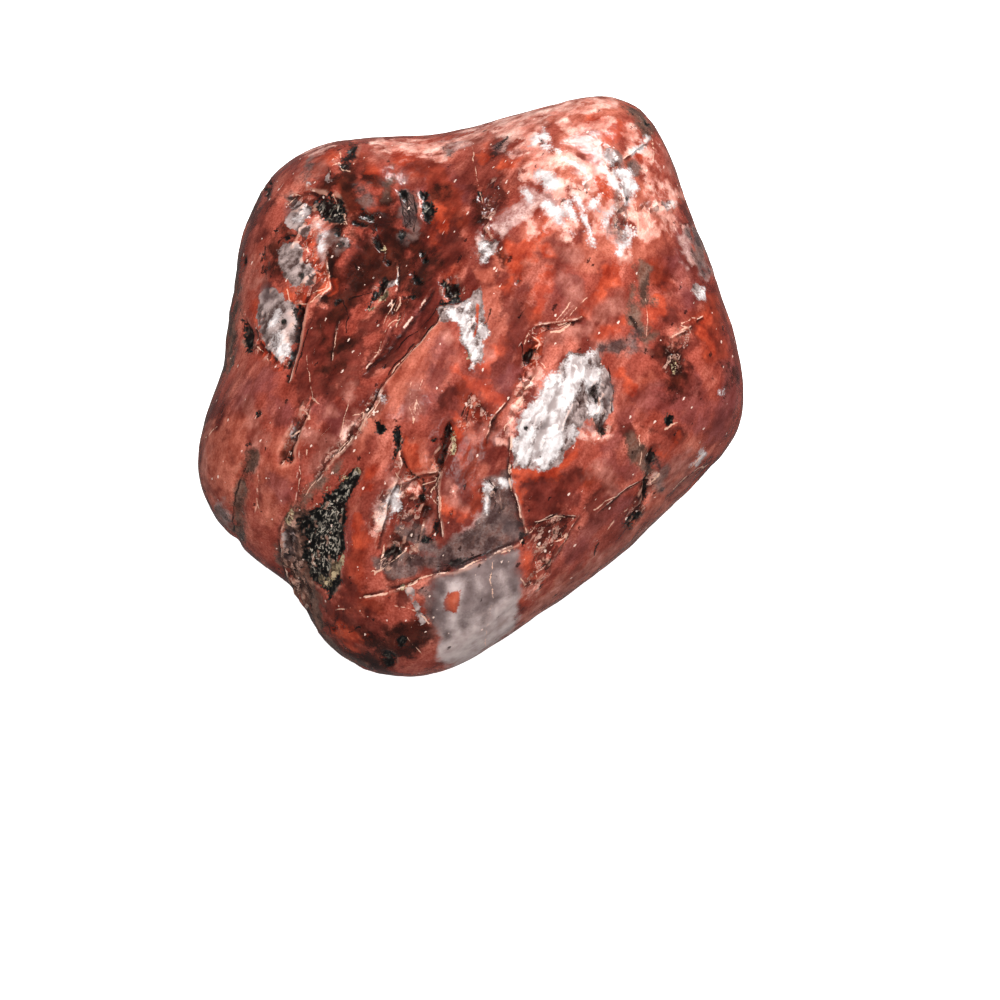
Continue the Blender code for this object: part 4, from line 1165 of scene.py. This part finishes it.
def facets(points, cell, seed):
    """Flat chips of stone at random tilts, one to a cell: how high each point is, about -1 to 1."""
    size = 16
    random = np.random.default_rng(seed)
    seats = random.uniform(0, 1, (size, size, size, 3))
    tilts = random.normal(0, 0.8, (size, size, size, 3))
    levels = random.uniform(-0.6, 0.6, (size, size, size))
    spots = points / cell
    low = np.floor(spots).astype(int)
    nearest = np.full(len(points), np.inf)
    height = np.zeros(len(points))
    for corner in np.ndindex(3, 3, 3):
        seat = low + corner - 1
        at = tuple((seat % size).T)
        offset = spots - seat - seats[at]
        away = (offset**2).sum(1)
        tilted = (offset * tilts[at]).sum(1) + levels[at]
        height = np.where(away < nearest, tilted, height)
        nearest = np.minimum(nearest, away)
    return height


def form_height(places, path, height):
    """A swell with this height along the path, which fades out past its half width."""
    half_width = path[0][2]
    off = (vein_distance(places, path) + half_width) / half_width
    return height * np.exp(-(off**2) * 0.7)


def ledge_height(side, past, drop, reach):
    """A step down to the right of a line. The low ground rises again over its reach."""
    edge = smooth_step(side / LEDGE_WIDTH + 0.5)
    low = -drop * edge * np.exp(-side.clip(0) / reach)
    high = 0.35 * drop * (1 - edge) * np.exp(side.clip(None, 0) / (0.4 * reach))
    return (low + high) * np.exp(-((past / 0.5) ** 2))


def relief(points, normals, hidden, distances):
    """How far each point stands above the smooth stone, how broken it is and its place by a ledge."""
    random = np.random.default_rng(SEED + 2)
    places = photo_places(swayed(points, 1.4, 0.16, SEED + 90))
    worn = (1 - hidden) * sum(form_height(places, *form) for form in FORMS.values())
    ledges = []
    for path, drop, reach in LEDGES.values():
        side, past, _ = beside_path(places, path)
        ledges.append((side * PIXEL, past * PIXEL + FADE * hidden, np.full(len(points), drop)))
        worn += ledge_height(*ledges[-1][:2], drop, reach)
    for side, past, drop in beside_hidden_lines(points, normals, hidden, *HIDDEN_LEDGES, random):
        ledges.append((side, past, drop))
        worn += ledge_height(side, past, drop, 0.9)
    ledge, past, drop = nearest_line(ledges)
    by_ledge = {"ledge": ledge.clip(-2, 2), "ledge_near": (1 - past / 0.4) * smooth_step(drop / 0.2)}

    seen = np.minimum.reduce([vein_distance(places, path) for path in BREAKS.values()])
    unseen = hidden_distance(points, points[hidden > 0.5], HIDDEN_BREAKS, random)
    torn = smooth_step(0.6 - on_both_sides(seen * PIXEL, unseen, hidden) / 0.5)
    drawn = along_grain(points, 0.72)
    height = WAVE_HEIGHT * layered_noise(points, WAVE_CELL, SEED + 100)
    height += GRAIN_HEIGHT * layered_noise(drawn, GRAIN_CELL, SEED + 200)
    chips = facets(points, CHIP_CELL, SEED + 250)
    splinters = facets(drawn, SPLINTER_CELL, SEED + 260)
    height += worn + torn * (CHIP_HEIGHT * chips + SPLINTER_HEIGHT * splinters)
    for k, (name, mineral) in enumerate(MINERALS.items()):
        cover = smooth_step(0.5 - distances[name] / 0.4)
        rubble = layered_noise(points, 0.8, SEED + 300 + 10 * k)
        height += cover * (mineral.rise + mineral.rubble * (rubble + splinters))
    return height, torn, by_ledge


def make_stone():
    """The fine mesh, with each mineral's and line's place as named attributes."""
    directions, cells, places = ball_net()
    points = STONE_MIDDLE + directions * reach_of_solid(directions, cells)[:, None]
    normals = surface_normals(points, cells)
    hidden = smooth_step((-HIDDEN_START - normals @ TOWARDS) / HIDDEN_FADE)
    distances = mineral_distances(points, hidden)
    height, torn, by_ledge = relief(points, normals, hidden, distances)
    values = distances | line_places(points, normals, hidden) | by_ledge
    flaky = np.maximum.reduce(
        [mineral.flaky * smooth_step(0.5 - distances[name] / 0.3) for name, mineral in MINERALS.items()]
    )
    values["torn"] = torn
    values["flaky"] = np.maximum(flaky, torn)
    values["proud"] = height - evened(height, cells, NEAR_ROUNDS)
    values["deep"] = evened(height, cells, FAR_ROUNDS) - height
    points = points + normals * height[:, None]
    points[:, 2] = points[:, 2].clip(0)

    data = bpy.data.meshes.new("polished_stone")
    data.from_pydata(points * MM, [], cells.tolist())
    data.shade_smooth()
    data.uv_layers.new(name="OFBake").data.foreach_set("uv", places.ravel())
    for name, value in values.items():
        data.attributes.new(name, "FLOAT", "POINT").data.foreach_set("value", value)
    ground = ground_colours(points)
    data.attributes.new("ground", "FLOAT_COLOR", "POINT").data.foreach_set("color", ground.ravel())
    stone = bpy.data.objects.new("polished_stone", data)
    bpy.context.scene.collection.objects.link(stone)
    return stone


class Signal:
    """What a shader node puts out. Arithmetic on it adds math nodes to its tree."""

    def __init__(self, socket):
        self.socket = socket

    def maths(self, operation, other=0.0):
        return signal(self.socket.id_data, "ShaderNodeMath", {0: self, 1: other}, operation=operation)

    def __add__(self, other):
        return self.maths("ADD", other)

    def __sub__(self, other):
        return self.maths("SUBTRACT", other)

    def __mul__(self, other):
        return self.maths("MULTIPLY", other)

    def __abs__(self):
        return self.maths("ABSOLUTE")

    def remap(self, low, high, to_low=0.0, to_high=1.0):
        """Its place between low and high, as an S curve from to_low to to_high."""
        inputs = {"Value": self, "From Min": low, "From Max": high, "To Min": to_low, "To Max": to_high}
        tree = self.socket.id_data
        return signal(tree, "ShaderNodeMapRange", inputs, "Result", interpolation_type="SMOOTHSTEP")


def feed(tree, socket, value):
    """Links the socket to a signal, or gives it a plain value."""
    if isinstance(value, Signal):
        tree.links.new(value.socket, socket)
    else:
        socket.default_value = value


def node(tree, kind, inputs, **settings):
    """A shader node with its settings and inputs."""
    made = tree.nodes.new(kind)
    for name, value in settings.items():
        setattr(made, name, value)
    for name, value in inputs.items():
        feed(tree, made.inputs[name], value)
    return made


def signal(tree, kind, inputs, output=0, **settings):
    """One output of a new node."""
    return Signal(node(tree, kind, inputs, **settings).outputs[output])


def blend(tree, share, first, second, way="MIX"):
    """Two colours blended, by share of the second."""
    inputs = {0: share, 6: first, 7: second}
    return signal(tree, "ShaderNodeMix", inputs, 2, data_type="RGBA", blend_type=way)


def between(tree, share, first, second):
    """Two numbers blended, by share of the second."""
    return signal(tree, "ShaderNodeMix", {0: share, 2: first, 3: second}, data_type="FLOAT")


def noise(tree, where, size, detail, rough, sway=0.0, output="Fac"):
    """Cloudy noise, 0 to 1, with clouds of about this size."""
    inputs = {"Vector": where, "Scale": 1 / size, "Detail": detail, "Roughness": rough, "Distortion": sway}
    return signal(tree, "ShaderNodeTexNoise", inputs, output)


def attribute(tree, name, output="Fac"):
    return signal(tree, "ShaderNodeAttribute", {}, output, attribute_name=name)


def stretched(tree, where, scale):
    return signal(tree, "ShaderNodeMapping", {"Vector": where, "Scale": scale})


def channels(tree, colour):
    """A colour's red, green and blue, as three signals."""
    return [Signal(part) for part in node(tree, "ShaderNodeSeparateColor", {0: colour}).outputs]


def cells_of(tree, where, size):
    """Random cells of about this size: how far each one's middle is, its colour and its middle."""
    made = node(tree, "ShaderNodeTexVoronoi", {"Vector": where, "Scale": 1 / size})
    return [Signal(made.outputs[name]) for name in ("Distance", "Color", "Position")]


def cell_faces(tree, where, colour, middle):
    """A flat face on each cell at its own tilt, about -0.2 to 0.2 high."""
    offset = signal(tree, "ShaderNodeVectorMath", {0: where, 1: middle}, operation="SUBTRACT")
    tilt = signal(tree, "ShaderNodeVectorMath", {0: colour, 1: (0.5, 0.5, 0.5)}, operation="SUBTRACT")
    return signal(tree, "ShaderNodeVectorMath", {0: offset, 1: tilt}, "Value", operation="DOT_PRODUCT")


class Patterns:
    """The noise, cells and mesh values that the stone's colours and bump are made from."""

    def __init__(self, tree):
        here = signal(tree, "ShaderNodeTexCoord", {}, "Object")
        self.where = signal(tree, "ShaderNodeVectorMath", {0: here, "Scale": 1 / MM}, operation="SCALE")
        lean = math.atan2(GRAIN_WAY[1], GRAIN_WAY[0])
        turned = signal(tree, "ShaderNodeMapping", {"Vector": self.where, "Rotation": (0.0, 0.0, -lean)})
        # Places squeezed along the grain, so that what lies on them is drawn out
        drawn = stretched(tree, turned, (0.3, 1.0, 0.7))
        self.flat = stretched(tree, turned, (0.45, 1.0, 0.8))
        self.needles = stretched(tree, turned, (0.09, 1.0, 0.9))

        clouds = noise(tree, self.where, 1.2, 5.0, 0.55, output="Color")
        self.edge, self.shade, self.other = channels(tree, clouds)
        self.streak = noise(tree, drawn, 0.9, 5.0, 0.62)
        self.fine = noise(tree, self.where, 0.16, 2.0, 0.6)
        _, cell, middle = cells_of(tree, self.flat, 0.36)
        self.flake = channels(tree, cell)[0]
        self.flake_faces = cell_faces(tree, self.flat, cell, middle)
        self.flaky = self.flake * 0.5 + self.fine * 0.8
        self.proud, self.deep, self.torn = (attribute(tree, name) for name in ("proud", "deep", "torn"))


def mineral_shades(tree, patterns):
    """What sets a mineral's light and dark parts, for each name that its shade can have."""
    fine, shade, other = patterns.fine, patterns.shade, patterns.other
    curl = noise(tree, patterns.flat, 0.34, 2.0, 0.6, sway=1.6).remap(0.55, 0.61)
    return {
        # Cloudy minerals are lighter where the surface stands proud and darker in its small dips: painted
        # highlight and shade on the relief
        "cloudy": (patterns.proud * 3.0 + fine * 0.35 + shade).remap(0.46, 0.96),
        "flaky": patterns.flaky.remap(0.40, 0.85),
        "curly": curl * other.remap(0.34, 0.54, 0.15, 1.0),
        "fibrous": (patterns.streak * 1.2 + shade).remap(0.90, 1.35),
        "calm": shade.remap(0.25, 0.75),
    }


def with_layers(tree, patterns, shades, minerals, colour, gloss):
    """The colour and the roughness with these minerals laid over them."""
    for name, mineral in minerals.items():
        distance = attribute(tree, name)
        moved = distance - patterns.edge * (4 * mineral.ragged) - patterns.fine * (2 * mineral.nibbled)
        middle = -2 * mineral.ragged - mineral.nibbled
        cover = moved.remap(middle + mineral.soft, middle - mineral.soft, 0.0, mineral.hides)
        shaded = shades[mineral.shade]
        if mineral.shade == "curly":
            shaded = shaded * distance.remap(-0.15, -0.55, 0.1, 1.0)
        colour = blend(tree, cover, colour, blend(tree, shaded, mineral.dark, mineral.light))
        gloss = between(tree, cover, gloss, mineral.gloss)
    return colour, gloss


def with_grain(tree, patterns, colour):
    """The feldspar's colour with paler and darker streaks and grains, and flakes where it is torn."""
    for value, low, high in ((patterns.streak, 0.28, 0.74), (patterns.fine, 0.12, 0.88)):
        tint = blend(tree, value.remap(low, high), PALER, DARKER)
        colour = blend(tree, 1.0, colour, tint, way="MULTIPLY")
    dark = patterns.torn * patterns.flake.remap(0.45, 0.15, 0.0, 0.65)
    pale = patterns.torn * patterns.flaky.remap(0.76, 0.92, 0.0, 0.5)
    return blend(tree, pale, blend(tree, dark, colour, DARK_FLAKE), PALE_FLAKE)


def with_ledges(tree, patterns, colour):
    """The colour with painted shadow at each ledge's foot and a broken painted highlight along its top."""
    ledge = (patterns.fine - 0.5) * 0.12 + attribute(tree, "ledge")
    near = attribute(tree, "ledge_near").remap(0.0, 0.5)
    # Painted shadow just below the step
    foot = ledge.remap(0.34, 0.06) * ledge.remap(-0.04, 0.04)
    colour = blend(tree, foot * near * patterns.other.remap(0.36, 0.56, 0.2, 0.8), colour, LEDGE_FOOT_SHADOW)
    # A broken painted highlight along the step's top edge
    top = abs(ledge + 0.07).remap(0.06, 0.02)
    return blend(tree, top * near * patterns.other.remap(0.50, 0.58, 0.0, 0.8), colour, LEDGE_TOP_HIGHLIGHT)


def with_lines(tree, patterns, colour):
    """The colour with cracks and pale seams over it, and gaps in them."""
    for name, line in LINES.items():
        across = abs(attribute(tree, name)) + (patterns.fine - 0.5) * 2.5
        width = patterns.shade.remap(0.40, 0.60, 1.6 - 3 * line.broken, 1.0)
        cover = (width - across).remap(-0.2, 0.5, 0.0, line.share)
        near = attribute(tree, name + "_near").remap(0.0, 0.2)
        colour = blend(tree, cover * near, colour, line.colour)
    return colour


def with_specks(tree, patterns, colour):
    """The colour with dark chips of painted pit shade, painted glints and pale needles over it, and where
    the chips are.
    """
    frayed = (patterns.fine - 0.5) * 0.5
    # Dark chips: painted shade in the tiny pits that the bump digs
    away, cell, _ = cells_of(tree, patterns.flat, 0.75)
    size = channels(tree, cell)[0].remap(0.50, 1.0, -0.1, 0.20)
    chip = (size + frayed - away).remap(0.0, 0.06)
    colour = blend(tree, chip * 0.8, colour, PIT_SHADE)

    # Painted glints of highlight, larger where the surface is torn
    away, cell, _ = cells_of(tree, patterns.flat, 0.42)
    size = channels(tree, cell)[0].remap(0.55, 1.0, -0.3, 0.22)
    size = size + patterns.torn * 0.25 + patterns.other * 1.6 - 0.84
    glint = (size.maths("MINIMUM", 0.2) + frayed - away).remap(0.0, 0.06)
    colour = blend(tree, glint * 0.8, colour, GLINT_HIGHLIGHT)

    away, cell, _ = cells_of(tree, patterns.needles, 0.55)
    needle = away.remap(0.07, 0.03) * channels(tree, cell)[0].remap(0.60, 0.75)
    return blend(tree, needle * 0.55, colour, NEEDLE), chip


def stone_material():
    material = bpy.data.materials.new("polished_minerals")
    material.use_nodes = True
    tree = material.node_tree
    patterns = Patterns(tree)
    shades = mineral_shades(tree, patterns)

    colour = attribute(tree, "ground", "Color")
    gloss = between(tree, patterns.streak, 0.08, 0.24)
    colour, gloss = with_layers(tree, patterns, shades, FELDSPARS, colour, gloss)
    colour = with_grain(tree, patterns, colour)
    colour, gloss = with_layers(tree, patterns, shades, OTHERS, colour, gloss)
    colour = with_ledges(tree, patterns, colour)
    # Painted shade where the surface lies deep, and pale ridges that are partly edge wear and partly
    # painted highlight
    colour = blend(tree, patterns.deep.remap(0.08, 0.40, 0.0, 0.55), colour, HOLLOW_SHADE)
    colour = blend(tree, patterns.proud.remap(0.03, 0.10, 0.0, 0.35), colour, RIDGE_WEAR_AND_HIGHLIGHT)
    colour = with_lines(tree, patterns, colour)
    colour, chip = with_specks(tree, patterns, colour)

    height = noise(tree, patterns.where, 1.0, 4.0, 0.6) * 0.040 + patterns.fine * 0.008
    height = height + patterns.flake_faces * attribute(tree, "flaky") * 1.1 - chip * 0.05
    bump = signal(tree, "ShaderNodeBump", {"Height": height, "Distance": MM, "Strength": 1.0})

    shader = tree.nodes["Principled BSDF"]
    feed(tree, shader.inputs["Base Color"], colour)
    feed(tree, shader.inputs["Roughness"], gloss)
    feed(tree, shader.inputs["Normal"], bump)
    shader.inputs["IOR"].default_value = 1.54
    return material


def make_camera():
    data = bpy.data.cameras.new("camera")
    data.lens = LENS
    data.sensor_width = SENSOR
    data.clip_start = MM
    camera = bpy.data.objects.new("camera", data)
    place = STONE_MIDDLE + AIM_RIGHT * RIGHT + AIM_UP * UP + CAMERA_DISTANCE * TOWARDS
    camera.location = place * MM
    camera.rotation_euler = (math.pi / 2 - rise, 0, 0)
    bpy.context.scene.collection.objects.link(camera)
    bpy.context.scene.camera = camera


def soft_lamp(name, way, distance, width, height, watts):
    """A rectangular lamp that shines on the stone from this way."""
    data = bpy.data.lights.new(name, "AREA")
    data.shape = "RECTANGLE"
    data.size = width * MM
    data.size_y = height * MM
    data.energy = watts
    lamp = bpy.data.objects.new(name, data)
    way = np.array(way) / np.linalg.norm(way)
    lamp.location = (STONE_MIDDLE + way * distance) * MM
    aim = lamp.location.copy()
    aim.z -= STONE_MIDDLE[2] * MM
    lamp.rotation_euler = aim.to_track_quat("Z", "Y").to_euler()
    bpy.context.scene.collection.objects.link(lamp)
    return lamp


def floor_material(name, colour, glow):
    material = bpy.data.materials.new(name)
    material.use_nodes = True
    shader = material.node_tree.nodes["Principled BSDF"]
    shader.inputs["Base Color"].default_value = (*colour, 1.0)
    shader.inputs["Roughness"].default_value = 0.9
    shader.inputs["Specular IOR Level"].default_value = 0.0
    shader.inputs["Emission Color"].default_value = (*colour, 1.0)
    shader.inputs["Emission Strength"].default_value = glow
    return material


def make_floor(name, depth, colour, glow):
    bpy.ops.mesh.primitive_plane_add(size=2.0, location=(0, 0, -depth * MM))
    floor = bpy.context.object
    floor.name = name
    floor.data.materials.append(floor_material(name, colour, glow))
    return floor


def make_studio():
    """Soft lamps and a pale floor.

    The photograph is exposed so that its floor is all but white, even in the stone's shadow. So the
    camera sees a floor that glows, and the stone is lit by a plainer one, which is dim in its shadow.
    """
    scene = bpy.context.scene
    scene.view_settings.view_transform = "Standard"
    world = bpy.data.worlds.new("studio")
    world.use_nodes = True
    background = world.node_tree.nodes["Background"]
    background.inputs["Color"].default_value = AIR
    background.inputs["Strength"].default_value = AIR_STRENGTH
    scene.world = world

    for name, way, width, height, watts in (
        ("window", (0.25, 0.78, 0.56), 170, 60, 0.75),
        ("glints", (0.0, -0.45, 0.89), 50, 50, 0.05),
    ):
        soft_lamp(name, way, REFLECTED_AWAY, width, height, watts).visible_diffuse = False
    for name, way, watts in (
        ("sky", (0.1, 0.0, 1.0), 2.9),
        ("day", (0.5, 0.6, 0.6), 1.4),
        ("front", (0.05, -0.7, 0.7), 1.0),
    ):
        lamp = soft_lamp(name, way, SHADING_AWAY, SHADING_WIDTH, SHADING_WIDTH, watts)
        lamp.visible_glossy = False

    seen = make_floor("floor", depth=0.05, colour=(0.94, 0.94, 0.94), glow=0.95)
    seen.visible_diffuse = False
    seen.visible_glossy = False
    bounce = make_floor("floor_bounce", depth=0.06, colour=(0.8, 0.8, 0.8), glow=0.25)
    bounce.visible_camera = False
    bounce.visible_glossy = False


make_camera()
make_studio()
stone = make_stone()
stone.data.materials.append(stone_material())
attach(stone, "root")
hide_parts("stone")
